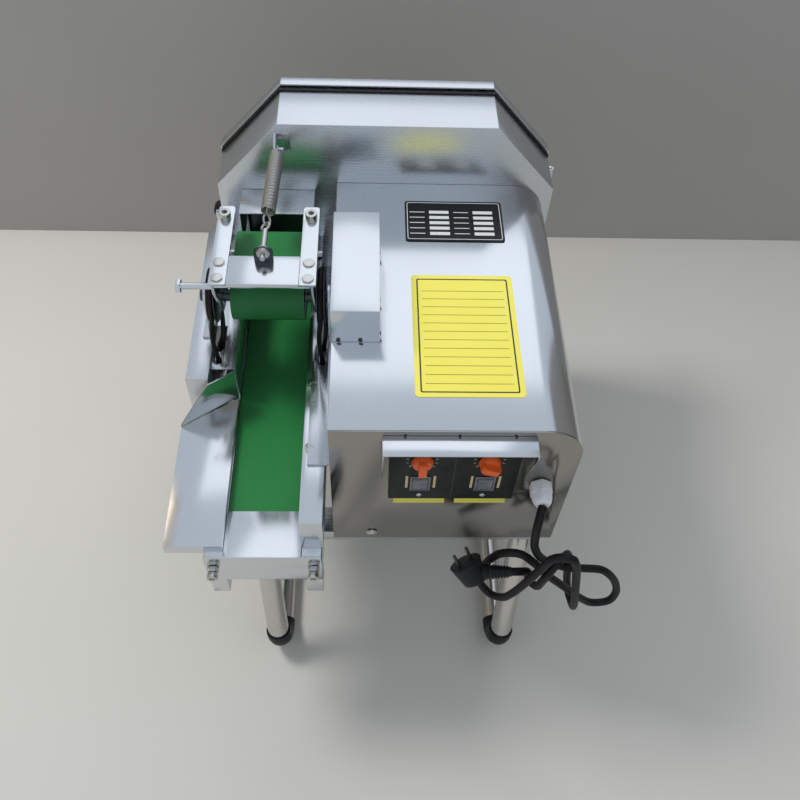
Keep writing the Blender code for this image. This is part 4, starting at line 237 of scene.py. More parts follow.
def tint(material, noise, dark, light):
    """The noise drives the base colour between two colours."""
    nodes, links = material.node_tree.nodes, material.node_tree.links
    ramp = nodes.new("ShaderNodeValToRGB")
    ramp.color_ramp.elements[0].position = 0.30
    ramp.color_ramp.elements[0].color = (*dark, 1)
    ramp.color_ramp.elements[1].position = 0.70
    ramp.color_ramp.elements[1].color = (*light, 1)
    links.new(noise.outputs["Fac"], ramp.inputs["Fac"])
    links.new(ramp.outputs["Color"], nodes["Principled BSDF"].inputs["Base Color"])


def bump(material, noise, strength, distance):
    """The noise raises the surface a little."""
    nodes, links = material.node_tree.nodes, material.node_tree.links
    relief = nodes.new("ShaderNodeBump")
    relief.inputs["Strength"].default_value = strength
    relief.inputs["Distance"].default_value = distance
    links.new(noise.outputs["Fac"], relief.inputs["Height"])
    links.new(relief.outputs["Normal"], nodes["Principled BSDF"].inputs["Normal"])


def set_sheen(material, level):
    """How strongly the surface mirrors."""
    material.node_tree.nodes["Principled BSDF"].inputs["Specular IOR Level"].default_value = level


def brushed_steel(name, grain, colour=(0.66, 0.69, 0.72), roughness=0.26):
    """Sheet steel with very fine brushing along one axis, and faint uneven wiping marks."""
    material = new_material(name, colour, roughness, 1.0)
    brushing = noise_of(material, 30.0, [2 if axis == grain else 90 for axis in "XYZ"], 2.0)
    vary(material, "Roughness", brushing, roughness - 0.025, roughness + 0.03)
    bump(material, brushing, 0.012, 0.0001)
    smears = noise_of(material, 5.0, (1, 1, 1), 2.0)
    tint(material, smears, [c * 0.96 for c in colour], [min(1, c * 1.03) for c in colour])
    return material


def make_materials():
    """Every finish of the machine, by name."""
    finishes = {
        "steel_x": brushed_steel("steel_brushed_across", "X"),
        "steel_y": brushed_steel("steel_brushed_along", "Y"),
        "steel_z": brushed_steel("steel_brushed_upright", "Z"),
        # the front panel's steel is the same brushed steel painted much darker: painted shade for the dark reflection
        # on its front face
        "steel_front": brushed_steel("front_sheet_steel", "X", (0.36, 0.345, 0.32), 0.20),
        "steel_mirror": brushed_steel("guide_plate_steel", "Y", (0.58, 0.60, 0.60), 0.14),
        "steel_tube": brushed_steel("leg_tube_steel", "Z", (0.62, 0.60, 0.57), 0.20),
        "steel_top": brushed_steel("cabinet_steel", "Y", (0.70, 0.73, 0.76), 0.18),
        "steel_bright": brushed_steel("bolt_steel", "X", (0.60, 0.60, 0.58), 0.22),
        "spring_wire": brushed_steel("spring_steel", "X", (0.50, 0.49, 0.46), 0.34),
        "dark_steel": brushed_steel("blackened_steel", "X", (0.09, 0.095, 0.10), 0.34),
    }
    belt = new_material("green_belt", (0.020, 0.170, 0.042), 0.48)
    weave = noise_of(belt, 260.0, (1, 1, 1), 2.0)
    bump(belt, weave, 0.10, 0.0002)
    wear = noise_of(belt, 14.0, (1, 0.35, 1), 4.0)
    tint(belt, wear, (0.017, 0.145, 0.036), (0.024, 0.190, 0.050))
    vary(belt, "Roughness", wear, 0.44, 0.56)
    set_sheen(belt, 0.30)
    finishes["belt"] = belt

    rubber = new_material("black_rubber", (0.006, 0.006, 0.007), 0.52)
    grain = noise_of(rubber, 320.0, (1, 1, 1), 2.0)
    bump(rubber, grain, 0.12, 0.0002)
    vary(rubber, "Roughness", grain, 0.42, 0.56)
    set_sheen(rubber, 0.30)
    finishes["rubber"] = rubber

    black = new_material("black_faceplate", (0.005, 0.006, 0.007), 0.40)
    film = noise_of(black, 420.0, (1, 1, 1), 2.0)
    bump(black, film, 0.06, 0.0001)
    vary(black, "Roughness", film, 0.36, 0.46)
    set_sheen(black, 0.30)
    finishes["black"] = black

    moulded = new_material("moulded_plug", (0.007, 0.008, 0.010), 0.44)
    skin = noise_of(moulded, 220.0, (1, 1, 1), 2.0)
    bump(moulded, skin, 0.10, 0.0002)
    vary(moulded, "Roughness", skin, 0.40, 0.52)
    set_sheen(moulded, 0.32)
    finishes["moulded"] = moulded

    orange = new_material("orange_knob", (0.85, 0.120, 0.015), 0.34)
    pearl = noise_of(orange, 240.0, (1, 1, 1), 2.0)
    bump(orange, pearl, 0.08, 0.0001)
    tint(orange, pearl, (0.80, 0.105, 0.012), (0.90, 0.135, 0.018))
    finishes["orange"] = orange

    rocker = new_material("rocker_grey", (0.16, 0.17, 0.18), 0.22)
    gloss = noise_of(rocker, 160.0, (1, 1, 1), 2.0)
    tint(rocker, gloss, (0.14, 0.15, 0.16), (0.19, 0.20, 0.21))
    finishes["rocker"] = rocker

    white = new_material("white_gland", (0.74, 0.74, 0.73), 0.42)
    chalk = noise_of(white, 180.0, (1, 1, 1), 2.0)
    tint(white, chalk, (0.70, 0.70, 0.69), (0.78, 0.78, 0.77))
    bump(white, chalk, 0.06, 0.0001)
    finishes["white"] = white

    yellow = new_material("yellow_film", (0.80, 0.72, 0.12), 0.40)
    print_grain = noise_of(yellow, 25.0, (1, 1, 1), 2.0)
    tint(yellow, print_grain, (0.80, 0.71, 0.09), (0.82, 0.73, 0.11))
    finishes["yellow"] = yellow

    straw = new_material("straw_marks", (0.60, 0.48, 0.24), 0.45)
    tint(straw, noise_of(straw, 200.0), (0.56, 0.44, 0.21), (0.64, 0.52, 0.27))
    finishes["straw"] = straw

    ink = new_material("white_print", (0.62, 0.62, 0.60), 0.45)
    tint(ink, noise_of(ink, 300.0), (0.58, 0.58, 0.56), (0.66, 0.66, 0.64))
    finishes["ink"] = ink

    dark_ink = new_material("black_print", (0.02, 0.02, 0.02), 0.45)
    tint(dark_ink, noise_of(dark_ink, 300.0), (0.016, 0.016, 0.016), (0.028, 0.028, 0.028))
    finishes["dark_ink"] = dark_ink

    paint = new_material("motor_paint", (0.09, 0.11, 0.13), 0.45)
    peel = noise_of(paint, 90.0, (1, 1, 1), 2.0)
    bump(paint, peel, 0.12, 0.0003)
    tint(paint, peel, (0.08, 0.10, 0.12), (0.10, 0.12, 0.14))
    finishes["paint"] = paint
    return finishes


# Modelling

def round_edges(piece, width, segments=2, angle=30):
    """Rounds every edge that is sharper than an angle."""
    edge = piece.modifiers.new("rounded edges", "BEVEL")
    edge.width = width
    edge.segments = segments
    edge.limit_method = "ANGLE"
    edge.angle_limit = radians(angle)
    bpy.context.view_layer.objects.active = piece
    bpy.ops.object.modifier_apply(modifier=edge.name)


def settle(piece, name, material, body):
    """Names a finished piece, puts its place into its mesh, and rides it on its body."""
    bpy.ops.object.select_all(action="DESELECT")
    piece.select_set(True)
    bpy.context.view_layer.objects.active = piece
    bpy.ops.object.transform_apply(location=True, rotation=True, scale=True)
    bpy.ops.object.shade_smooth_by_angle(angle=radians(35))
    piece.name = piece.data.name = name
    piece.data.materials.clear()
    piece.data.materials.append(material)
    piece.select_set(False)
    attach(piece, body)
    return piece


def merge(name, pieces, material, body):
    """Several pieces joined into the first."""
    bpy.ops.object.select_all(action="DESELECT")
    for piece in pieces:
        piece.select_set(True)
    bpy.context.view_layer.objects.active = pieces[0]
    bpy.ops.object.join()
    return settle(pieces[0], name, material, body)


def raw_box(low, high, bevel=0.0, segments=2):
    """A block between two corners of the machine's coordinates, with its edges rounded if asked."""
    low, high = place(*low), place(*high)
    bpy.ops.mesh.primitive_cube_add(size=1, location=(low + high) / 2)
    piece = bpy.context.object
    piece.scale = high - low
    bpy.ops.object.transform_apply(location=True, rotation=True, scale=True)
    if bevel:
        round_edges(piece, bevel, segments)
    return piece


def turned(name, profile, axis, point, material, body, steps=40):
    """A profile of (radius, distance) spun round an axis through a point of the machine."""
    bpy.ops.mesh.primitive_circle_add(vertices=3, radius=0.001, location=(0, 0, 0))
    piece = bpy.context.object
    bm = bmesh.new()
    row = [bm.verts.new((radius, 0, distance)) for radius, distance in profile]
    edges = [bm.edges.new(pair) for pair in zip(row, row[1:])]
    bmesh.ops.spin(bm, geom=row + edges, cent=(0, 0, 0), axis=(0, 0, 1), angle=2 * pi, steps=steps)
    bmesh.ops.remove_doubles(bm, verts=bm.verts, dist=1e-6)
    bmesh.ops.recalc_face_normals(bm, faces=bm.faces)
    bm.to_mesh(piece.data)
    bm.free()
    heading = {"X": Vector((1, 0, 0)), "Y": Vector((0, 1, 0)), "Z": Vector((0, 0, 1))}[axis]
    piece.rotation_mode = "QUATERNION"
    piece.rotation_quaternion = heading.to_track_quat("Z", "Y")
    piece.location = place(*point)
    return settle(piece, name, material, body)


def pan_screw(name, point, facing, radius=0.0042, height=0.0024, body="machine", washer=0.0, finish="steel_bright"):
    """A pan-head screw with a cross recess, on its washer if it has one; facing is the way that its head looks."""
    facing = Vector(facing).normalized()
    bpy.ops.mesh.primitive_uv_sphere_add(segments=32, ring_count=16, radius=radius, location=(0, 0, 0))
    head = bpy.context.object
    bpy.ops.object.mode_set(mode="EDIT")
    bpy.ops.mesh.select_all(action="SELECT")
    bpy.ops.mesh.bisect(plane_co=(0, 0, 0), plane_no=(0, 0, 1), use_fill=True, clear_inner=True)
    bpy.ops.mesh.select_all(action="SELECT")
    bpy.ops.transform.resize(value=(1, 1, height / radius), center_override=(0, 0, 0))
    bpy.ops.object.mode_set(mode="OBJECT")
    for turn in (0, 90):
        bpy.ops.mesh.primitive_cube_add(size=1, location=(0, 0, height))
        slot = bpy.context.object
        slot.scale = (radius * 1.05, radius * 0.24, height * 0.9)
        slot.rotation_euler = (0, 0, radians(turn))
        take_away(head, slot)
    if washer:
        bpy.ops.mesh.primitive_cylinder_add(vertices=40, radius=washer, depth=0.0010, location=(0, 0, 0.0005))
        plate = bpy.context.object
        round_edges(plate, 0.0003, 2)
        bpy.ops.object.select_all(action="DESELECT")
        head.location = (0, 0, 0.0008)
        head.select_set(True)
        plate.select_set(True)
        bpy.context.view_layer.objects.active = head
        bpy.ops.object.transform_apply(location=True, rotation=True, scale=True)
        bpy.ops.object.join()
    head.rotation_mode = "QUATERNION"
    head.rotation_quaternion = facing.to_track_quat("Z", "Y")
    head.location = place(*point)
    return settle(head, name, FINISH[finish], body)


def body_of(node):
    """The name of the body that a node rides on."""
    return bpy.data.objects[node].parent.name.split(":")[1]


def solid_copy(node):
    """A copy of a node's solid with its loose triangles merged into whole faces."""
    piece = bpy.data.objects.new(f"{node}_sheet", bpy.data.objects[node].data.copy())
    bpy.context.scene.collection.objects.link(piece)
    bpy.ops.object.select_all(action="DESELECT")
    piece.select_set(True)
    bpy.context.view_layer.objects.active = piece
    bpy.ops.mesh.customdata_custom_splitnormals_clear()
    bpy.ops.object.mode_set(mode="EDIT")
    bpy.ops.mesh.select_all(action="SELECT")
    bpy.ops.mesh.remove_doubles(threshold=0.000002)
    bpy.ops.mesh.dissolve_limited(angle_limit=radians(0.4))
    bpy.ops.object.mode_set(mode="OBJECT")
    return piece


def shave(piece, height):
    """Cuts off what stands above a height of the machine."""
    take_away(piece, raw_box((-0.40, -0.20, height), (0.40, 0.60, height + 0.10)))


def dress(node, finish, edge, segments=2):
    """Shows a node as its own solid with rounded edges, in its finish."""
    piece = solid_copy(node)
    if edge:
        round_edges(piece, edge, segments, 28)
    settle(piece, f"{node}_sheet", FINISH[finish], body_of(node))
    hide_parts(node)
    return piece


def hexagon_head(name, point, facing, across, height, body, turn=0.0, stud=0.0, finish="steel_bright"):
    """A hexagon head or nut on its washer face, with its corners chamfered, and the stud's end if it has one."""
    bpy.ops.mesh.primitive_cylinder_add(vertices=6, radius=across / sqrt(3), depth=height,
                                        location=(0, 0, height / 2))
    head = bpy.context.object
    head.rotation_euler = (0, 0, turn)
    bpy.ops.object.transform_apply(location=True, rotation=True, scale=True)
    bpy.ops.mesh.primitive_cylinder_add(vertices=48, radius=across * 0.575, depth=height * 1.2,
                                        location=(0, 0, height * 0.6))
    crown = bpy.context.object
    round_edges(crown, across * 0.085, 3)
    meet = head.modifiers.new("chamfered corners", "BOOLEAN")
    meet.operation = "INTERSECT"
    meet.object = crown
    crown.location = (0, 0, -height * 0.2)
    bpy.context.view_layer.objects.active = head
    bpy.ops.object.modifier_apply(modifier=meet.name)
    bpy.data.objects.remove(crown)
    round_edges(head, across * 0.02, 2)
    pieces = [head]
    bpy.ops.mesh.primitive_cylinder_add(vertices=40, radius=across * 0.60, depth=height * 0.16,
                                        location=(0, 0, height * 0.08 - 0.0001))
    washer = bpy.context.object
    round_edges(washer, height * 0.04, 2)
    pieces.append(washer)
    if stud:
        bpy.ops.mesh.primitive_cylinder_add(vertices=32, radius=stud, depth=height * 0.9,
                                            location=(0, 0, height * 1.1))
        end = bpy.context.object
        round_edges(end, stud * 0.25, 3)
        pieces.append(end)
    bpy.ops.object.select_all(action="DESELECT")
    for piece in pieces:
        piece.select_set(True)
    bpy.context.view_layer.objects.active = head
    bpy.ops.object.join()
    head.rotation_mode = "QUATERNION"
    head.rotation_quaternion = Vector(facing).to_track_quat("Z", "Y")
    head.location = place(*point)
    return settle(head, name, FINISH[finish], body)


def smooth_route(route, spacing):
    """Points at even steps along a smooth curve through the route's points."""
    knots = [Vector(p) for p in route]
    dense = []
    for i in range(len(knots) - 1):
        p0 = knots[max(i - 1, 0)]
        p1, p2 = knots[i], knots[i + 1]
        p3 = knots[min(i + 2, len(knots) - 1)]
        for k in range(24):
            t = k / 24
            dense.append(0.5 * (2 * p1 + (p2 - p0) * t + (2 * p0 - 5 * p1 + 4 * p2 - p3) * t * t
                                + (3 * p1 - p0 - 3 * p2 + p3) * t ** 3))
    dense.append(knots[-1])
    points = [dense[0]]
    for point in dense[1:]:
        if (point - points[-1]).length >= spacing:
            points.append(point)
    points[-1] = dense[-1]
    return points


def wire(name, points, radius, material, cyclic=False, resolution=4):
    """A round wire along the points, as a curve of one spline."""
    curve = bpy.data.curves.new(name, "CURVE")
    curve.dimensions = "3D"
    curve.bevel_depth = radius
    curve.bevel_resolution = resolution
    curve.use_fill_caps = True
    spline = curve.splines.new("POLY")
    spline.points.add(len(points) - 1)
    for point, co in zip(spline.points, points):
        point.co = (*co, 1)
    spline.use_cyclic_u = cyclic
    spline.use_smooth = True
    piece = bpy.data.objects.new(name, curve)
    bpy.context.scene.collection.objects.link(piece)
    curve.materials.append(material)
    return piece


# The cord's route, the same points as in the part's source
CORD_ROUTE = [
    (0.2025, -0.0243, 0.3270), (0.1973, -0.0401, 0.3176), (0.1977, -0.0430, 0.2981), (0.2004, -0.0420, 0.2784),
    (0.2061, -0.0405, 0.2593), (0.2143, -0.0376, 0.2413), (0.2263, -0.0356, 0.2258), (0.2451, -0.0382, 0.2199),
    (0.2643, -0.0367, 0.2147), (0.2833, -0.0361, 0.2100), (0.2971, -0.0370, 0.1957), (0.3062, -0.0383, 0.1780),
    (0.3106, -0.0398, 0.1587), (0.3064, -0.0413, 0.1397), (0.2882, -0.0425, 0.1373), (0.2738, -0.0436, 0.1508),
    (0.2621, -0.0448, 0.1670), (0.2506, -0.0460, 0.1833), (0.2391, -0.0470, 0.1996), (0.2268, -0.0471, 0.2154),
    (0.2156, -0.0467, 0.2320), (0.2040, -0.0459, 0.2482), (0.1891, -0.0420, 0.2601), (0.1717, -0.0381, 0.2538),
    (0.1626, -0.0358, 0.2362), (0.1575, -0.0346, 0.2169), (0.1555, -0.0341, 0.1971), (0.1581, -0.0358, 0.1774),
    (0.1700, -0.0441, 0.1660), (0.1813, -0.0532, 0.1783), (0.1866, -0.0577, 0.1970), (0.1916, -0.0602, 0.2162),
    (0.1967, -0.0615, 0.2355), (0.2021, -0.0620, 0.2547), (0.2081, -0.0620, 0.2738), (0.2144, -0.0625, 0.2927),
    (0.2309, -0.0650, 0.2973), (0.2385, -0.0660, 0.2792), (0.2424, -0.0661, 0.2596), (0.2459, -0.0660, 0.2399),
    (0.2494, -0.0656, 0.2202), (0.2531, -0.0636, 0.2007), (0.2570, -0.0603, 0.1814), (0.2607, -0.0557, 0.1623),
    (0.2639, -0.0484, 0.1440), (0.2623, -0.0313, 0.1402), (0.2582, -0.0253, 0.1583), (0.2547, -0.0251, 0.1780),
    (0.2514, -0.0260, 0.1977), (0.2476, -0.0285, 0.2171), (0.2433, -0.0330, 0.2361), (0.2378, -0.0394, 0.2542),
    (0.2267, -0.0513, 0.2626), (0.2173, -0.0582, 0.2474), (0.2144, -0.0575, 0.2277), (0.2124, -0.0537, 0.2082),
    (0.2060, -0.0424, 0.2010), (0.2035, -0.0438, 0.2190), (0.1985, -0.0474, 0.2310), (0.1915, -0.0495, 0.2346),
    (0.1827, -0.0495, 0.2346),
]


def make_cord():
    """The power cord, along its route, with its plug."""
    points = [ORIGIN + p for p in smooth_route(CORD_ROUTE, CORD_SPACING)]
    cord = wire("cord", points, CORD_DIAMETER / 2, FINISH["rubber"])
    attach(cord, "machine")
    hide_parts("power_cord")
    plug = make_plug()
    return cord


def make_plug():
    """The moulded plug: a body with a flat face and finger flats, a ribbed strain relief and two round pins."""
    end = Vector(CORD_ROUTE[-1]) - Vector((0.0003, 0, 0))
    centre = Vector((end.x - PLUG_REACH, end.y, end.z))
    facing = Vector(PLUG_FACING).normalized()
    depth, radius = PLUG_DEPTH, PLUG_RADIUS
    bpy.ops.mesh.primitive_cylinder_add(vertices=48, radius=radius * 0.94, depth=depth * 0.95,
                                        location=(0, 0, 0))
    body = bpy.context.object
    bm = bmesh.new()
    bm.from_mesh(body.data)
    for vert in bm.verts:
        if vert.co.z < 0:
            vert.co.x *= 0.66
            vert.co.y *= 0.74
    bm.to_mesh(body.data)
    bm.free()
    for reach in (-1, 1):
        flat = raw_block((0, reach * (radius * 0.80 + 0.02), -0.01), (0.06, 0.04, 0.04))
        take_away(body, flat)
    round_edges(body, 0.0022, 4)
    for i in range(4):
        groove = raw_block((0, -radius * 0.80, depth * (0.05 - 0.13 * i)), (0.030, 0.0016, 0.0012))
        take_away(body, groove)
    body.rotation_mode = "QUATERNION"
    body.rotation_quaternion = facing.to_track_quat("Z", "Y")
    body.location = place(*centre)
    sleeve_profile = [(0, 0), (radius * 0.52, 0), (radius * 0.50, PLUG_REACH * 0.36),
                      (radius * 0.40, PLUG_REACH * 0.44)]
    rib = PLUG_REACH * 0.50 / SLEEVE_RIBS
    for i in range(SLEEVE_RIBS):
        at = PLUG_REACH * 0.47 + i * rib
        taper = radius * (0.43 - 0.015 * i)
        sleeve_profile += [(taper, at), (taper, at + rib * 0.50), (taper * 0.80, at + rib * 0.58),
                           (taper * 0.80, at + rib * 0.92)]
    sleeve_profile += [(radius * 0.30, PLUG_REACH), (0, PLUG_REACH)]
    sleeve = turned("plug_sleeve", sleeve_profile, "X", centre, FINISH["moulded"], "machine", 32)
    plug = merge("plug", [body, sleeve], FINISH["moulded"], "machine")
    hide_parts("power_plug")
    across = facing.cross(Vector((0, 0, 1))).normalized()
    for i, side in enumerate((-1, 1)):
        foot = place(*centre) + facing * depth * 0.46 + across * side * PIN_ASIDE
        pin = wire_mesh(f"plug_pin_{i + 1}", [foot, foot + facing * PRONG_LENGTH * 0.75], PIN_RADIUS,
                        "dark_steel")
        round_edges(pin, 0.0005, 2, 50)
        settle(pin, f"plug_pin_{i + 1}", FINISH["dark_steel"], "machine")
    return plug


def raw_block(centre, size):
    """A block by its centre and size, not yet in its place on the machine."""
    bpy.ops.mesh.primitive_cube_add(size=1, location=centre)
    block = bpy.context.object
    block.scale = size
    return block


def make_gland():
    """The white cable gland: a hexagon nut that tapers to a soft round mouth."""
    low, high = (Vector(corner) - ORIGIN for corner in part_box("cable_gland"))
    x, z = (low.x + high.x) / 2, (low.z + high.z) / 2
    face = -LIFT
    out = face - low.y
    bpy.ops.mesh.primitive_cylinder_add(vertices=6, radius=GLAND_RADIUS, depth=out * 0.55,
                                        location=(0, 0, out * 0.275))
    nut = bpy.context.object
    bpy.ops.object.transform_apply(location=True, rotation=True, scale=True)
    round_edges(nut, 0.0016, 4)
    nut.rotation_mode = "QUATERNION"
    nut.rotation_quaternion = Vector((0, -1, 0)).to_track_quat("Z", "Y")
    nut.location = place(x, face, z)
    mouth = turned(
        "gland_mouth",
        [(0, out * 0.30), (0.0100, out * 0.30), (0.0102, out * 0.56), (0.0096, out * 0.74), (0.0084, out * 0.90),
         (0.0070, out * 0.98), (0.0058, out), (0, out)],
        "Y", (x, face, z), FINISH["white"], "machine", 48,
    )
    mirror_in(mouth, place(x, face, z).y)
    gland = merge("gland_nut", [nut, mouth], FINISH["white"], "machine")
    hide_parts("cable_gland")


def mirror_in(piece, plane_y):
    """Turns a piece to face the front: its points are mirrored in a plane across Y, and its faces set right."""
    bm = bmesh.new()
    bm.from_mesh(piece.data)
    for vert in bm.verts:
        vert.co.y = 2 * plane_y - vert.co.y
    bmesh.ops.recalc_face_normals(bm, faces=bm.faces)
    bm.to_mesh(piece.data)
    bm.free()


def make_housing_black_band():
    """A black band round the housing's octagon, just in front of its lid."""
    low, high = (Vector(corner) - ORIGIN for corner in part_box("cutter_housing"))
    half = (high.z - low.z) / 2
    centre = Vector((high.x - half, 0, (low.z + high.z) / 2))
    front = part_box("housing_lid")[0][1] - ORIGIN.y
    outlines = []
    for grow in (BAND_OUT, -0.0006):
        hx = hz = half + grow
        cx, cz = HOUSING_CORNER_X, HOUSING_CORNER_Z
        outlines.append([(hx, hz - cz), (hx - cx, hz), (cx - hx, hz), (-hx, hz - cz),
                         (-hx, cz - hz), (cx - hx, -hz), (hx - cx, -hz), (hx, cz - hz)])
    bpy.ops.mesh.primitive_plane_add(size=0.001)
    band_ring = bpy.context.object
    bm = bmesh.new()
    rings = [[bm.verts.new(place(centre.x + x, y, centre.z + z)) for x, z in outline]
             for outline, y in ((outlines[0], front - 0.0004), (outlines[0], front - BAND_DEEP),
                                (outlines[1], front - BAND_DEEP), (outlines[1], front - 0.0004))]
    for a, b in zip(rings, rings[1:] + rings[:1]):
        for i in range(8):
            bm.faces.new((a[i], a[(i + 1) % 8], b[(i + 1) % 8], b[i]))
    bmesh.ops.recalc_face_normals(bm, faces=bm.faces)
    bm.to_mesh(band_ring.data)
    bm.free()
    round_edges(band_ring, 0.0003, 2, 50)
    settle(band_ring, "housing_seal", FINISH["rubber"], "machine")


def ring_points(centre, along, across, long_half, wide_half, start=0.0, sweep=2 * pi, steps=28):
    """Points round an oval whose half axes lie along two directions."""
    points = []
    for i in range(steps + 1):
        turn = start + sweep * i / steps
        points.append(centre + along * (long_half * cos(turn)) + across * (wide_half * sin(turn)))
    return points


def wire_mesh(name, points, radius, finish, cyclic=False, resolution=3):
    """A round wire made into a mesh."""
    piece = wire(name, points, radius, FINISH[finish], cyclic, resolution)
    bpy.ops.object.select_all(action="DESELECT")
    piece.select_set(True)
    bpy.context.view_layer.objects.active = piece
    bpy.ops.object.convert(target="MESH")
    return bpy.context.object


def make_spring():
    """The closed coil that pulls the press frame back, hooked into the eye bolt and over the ear's pin."""
    ring = place(CHANNEL_X, EYE_RING_Y, PRESS_TOP + EYE_HEIGHT)
    anchor = place(*SPRING_ANCHOR)
    direction = (anchor - ring).normalized()
    side = direction.cross(Vector((0, 0, 1))).normalized()
    up = side.cross(direction).normalized()
    tilt = (up * 0.75 - side * 0.66).normalized()
    first, last = ring + direction * 0.0200, anchor - direction * 0.0085
    steps = 14
    turns = int((last - first).length / SPRING_PITCH)
    loop_centre = ring + direction * 0.0088
    points = ring_points(loop_centre, direction, tilt, 0.0068, 0.0042, 0.35, 2 * pi - 0.45, 20)
    points.append(loop_centre + direction * 0.0090 + tilt * 0.0015)
    for i in range(turns * steps + 1):
        turn = 2 * pi * i / steps
        rim = (side * sin(turn) + up * cos(turn)) * SPRING_RADIUS
        points.append(first.lerp(last, i / (turns * steps)) + rim)
    points += [last + direction * 0.0020 + up * 0.0020, anchor - direction * 0.0028 + up * 0.0022,
               anchor + direction * 0.0006 + up * 0.0033, anchor + direction * 0.0033,
               anchor + direction * 0.0010 - up * 0.0033]
    spring = wire_mesh("spring_coil", points, SPRING_WIRE, "spring_wire", resolution=2)
    bpy.ops.object.shade_smooth_by_angle(angle=radians(40))
    spring.select_set(False)
    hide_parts("tension_spring")
    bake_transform(spring)
    return spring


def make_press_frame():
    """The press frame: two folded arms, each with two hexagon bolts and a socket post, the plate between
    them, and the eye bolt in its tab."""
    plate = solid_copy("press_cross_plate")
    shave(plate, PRESS_TOP - 0.0001)
    round_edges(plate, 0.0005, 2)
    settle(plate, "press_plate", FINISH["steel_top"], "press_frame")
    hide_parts("press_cross_plate")
    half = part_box("press_arm_right")[1][0] - ORIGIN.x - CHANNEL_X
    for side, step in (("left", -1), ("right", 1)):
        arm = solid_copy(f"press_arm_{side}")
        shave(arm, PRESS_TOP - 0.0001)
        outer = CHANNEL_X + step * half
        near, far = sorted((outer - step * ARM_WIDTH, outer))
        tail = raw_box((near, ARM_REAR - 0.020, PRESS_TOP - ARM_SHEET), (far, ARM_REAR, PRESS_TOP - 0.0001))
        round_upright(tail, 0.0035, ARM_REAR - 0.005)
        join_solid(arm, tail)
        round_edges(arm, 0.0009, 3, 40)
        settle(arm, f"press_arm_{side}_sheet", FINISH["steel_top"], "press_frame")
        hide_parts(f"press_arm_{side}")
        bolt_x = outer - step * ARM_BOLT_INSET
        for i, y in enumerate(ARM_BOLT_PLACES):
            hexagon_head(
                f"arm_bolt_{side}_{i + 1}", (bolt_x, y, PRESS_TOP), (0, 0, 1), ARM_BOLT_ACROSS,
                ARM_BOLT_HEIGHT, "press_frame", radians(15 + 20 * i),
            )
        make_post(f"arm_post_{side}", (bolt_x, POST_PLACE, PRESS_TOP))
    make_eye_bolt()


def round_upright(piece, radius, behind):
    """Rounds a block's upright edges that lie behind a given place."""
    bm = bmesh.new()
    bm.from_mesh(piece.data)
    limit = place(0, behind, 0).y
    edges = [e for e in bm.edges
             if abs(e.verts[0].co.x - e.verts[1].co.x) < 1e-6 and abs(e.verts[0].co.y - e.verts[1].co.y) < 1e-6
             and e.verts[0].co.y > limit]
    bmesh.ops.bevel(bm, geom=edges, offset=radius, segments=6, affect="EDGES", profile=0.5)
    bm.to_mesh(piece.data)
    bm.free()


def join_solid(piece, tool):
    """Fuses one solid with another."""
    fusion = piece.modifiers.new("join", "BOOLEAN")
    fusion.operation = "UNION"
    fusion.object = tool
    bpy.context.view_layer.objects.active = piece
    bpy.ops.object.modifier_apply(modifier=fusion.name)
    bpy.data.objects.remove(tool)


def make_post(name, point):
    """A round post on an arm's rear end, with a hexagon socket."""
    x, y, z = point
    bpy.ops.mesh.primitive_cylinder_add(vertices=40, radius=POST_RADIUS, depth=POST_HEIGHT,
                                        location=place(x, y, z + POST_HEIGHT / 2))
    post = bpy.context.object
    bpy.ops.object.transform_apply(location=True, rotation=True, scale=True)
    round_edges(post, 0.0007, 3)
    bpy.ops.mesh.primitive_cylinder_add(vertices=6, radius=POST_RADIUS * 0.56, depth=0.010,
                                        location=place(x, y, z + POST_HEIGHT))
    take_away(post, bpy.context.object)
    settle(post, name, FINISH["steel_bright"], "press_frame")


def make_eye_bolt():
    """The eye bolt with its nut, through a tab that stands on the press plate."""
    x, z = CHANNEL_X, PRESS_TOP + EYE_HEIGHT
    tab = raw_box((x - EYE_TAB_HALF, EYE_TAB_Y, PRESS_TOP - LIFT),
                  (x + EYE_TAB_HALF, EYE_TAB_Y + ARM_SHEET, z + 0.0062))
    bm = bmesh.new()
    bm.from_mesh(tab.data)
    top = place(0, 0, z).z
    corners = [e for e in bm.edges if abs(e.verts[0].co.y - e.verts[1].co.y) > 0.001 and e.verts[0].co.z > top]
    bmesh.ops.bevel(bm, geom=corners, offset=0.0055, segments=5, affect="EDGES", profile=0.5)
    bm.to_mesh(tab.data)
    bm.free()
    round_edges(tab, 0.0004, 2)
    settle(tab, "eye_tab", FINISH["dark_steel"], "press_frame")
    front = EYE_TAB_Y - 0.0085
    centre = place(x, EYE_RING_Y, z)
    across = Vector((0.82, 0, 0.57))
    ring = wire_mesh(
        "eye_ring", ring_points(centre, Vector((0, 1, 0)), across, EYE_RING_RADIUS, EYE_RING_RADIUS)[:-1],
        EYE_RING_WIRE, "steel_bright", cyclic=True,
    )
    rod_ends = [place(x, front, z), place(x, EYE_RING_Y - EYE_RING_RADIUS - 0.0004, z)]
    rod = wire_mesh("eye_rod", rod_ends, EYE_ROD_RADIUS, "steel_bright")
    eye = merge("eye_bolt_rod", [rod, ring], FINISH["steel_bright"], "press_frame")
    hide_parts("eye_bolt")
    for name, y, facing in (("eye_nut_front", EYE_TAB_Y - LIFT, -1),
                            ("eye_nut_back", EYE_TAB_Y + ARM_SHEET + LIFT, 1)):
        hexagon_head(name, (x, y, z), (0, facing, 0), 0.0108, 0.0058, "press_frame")


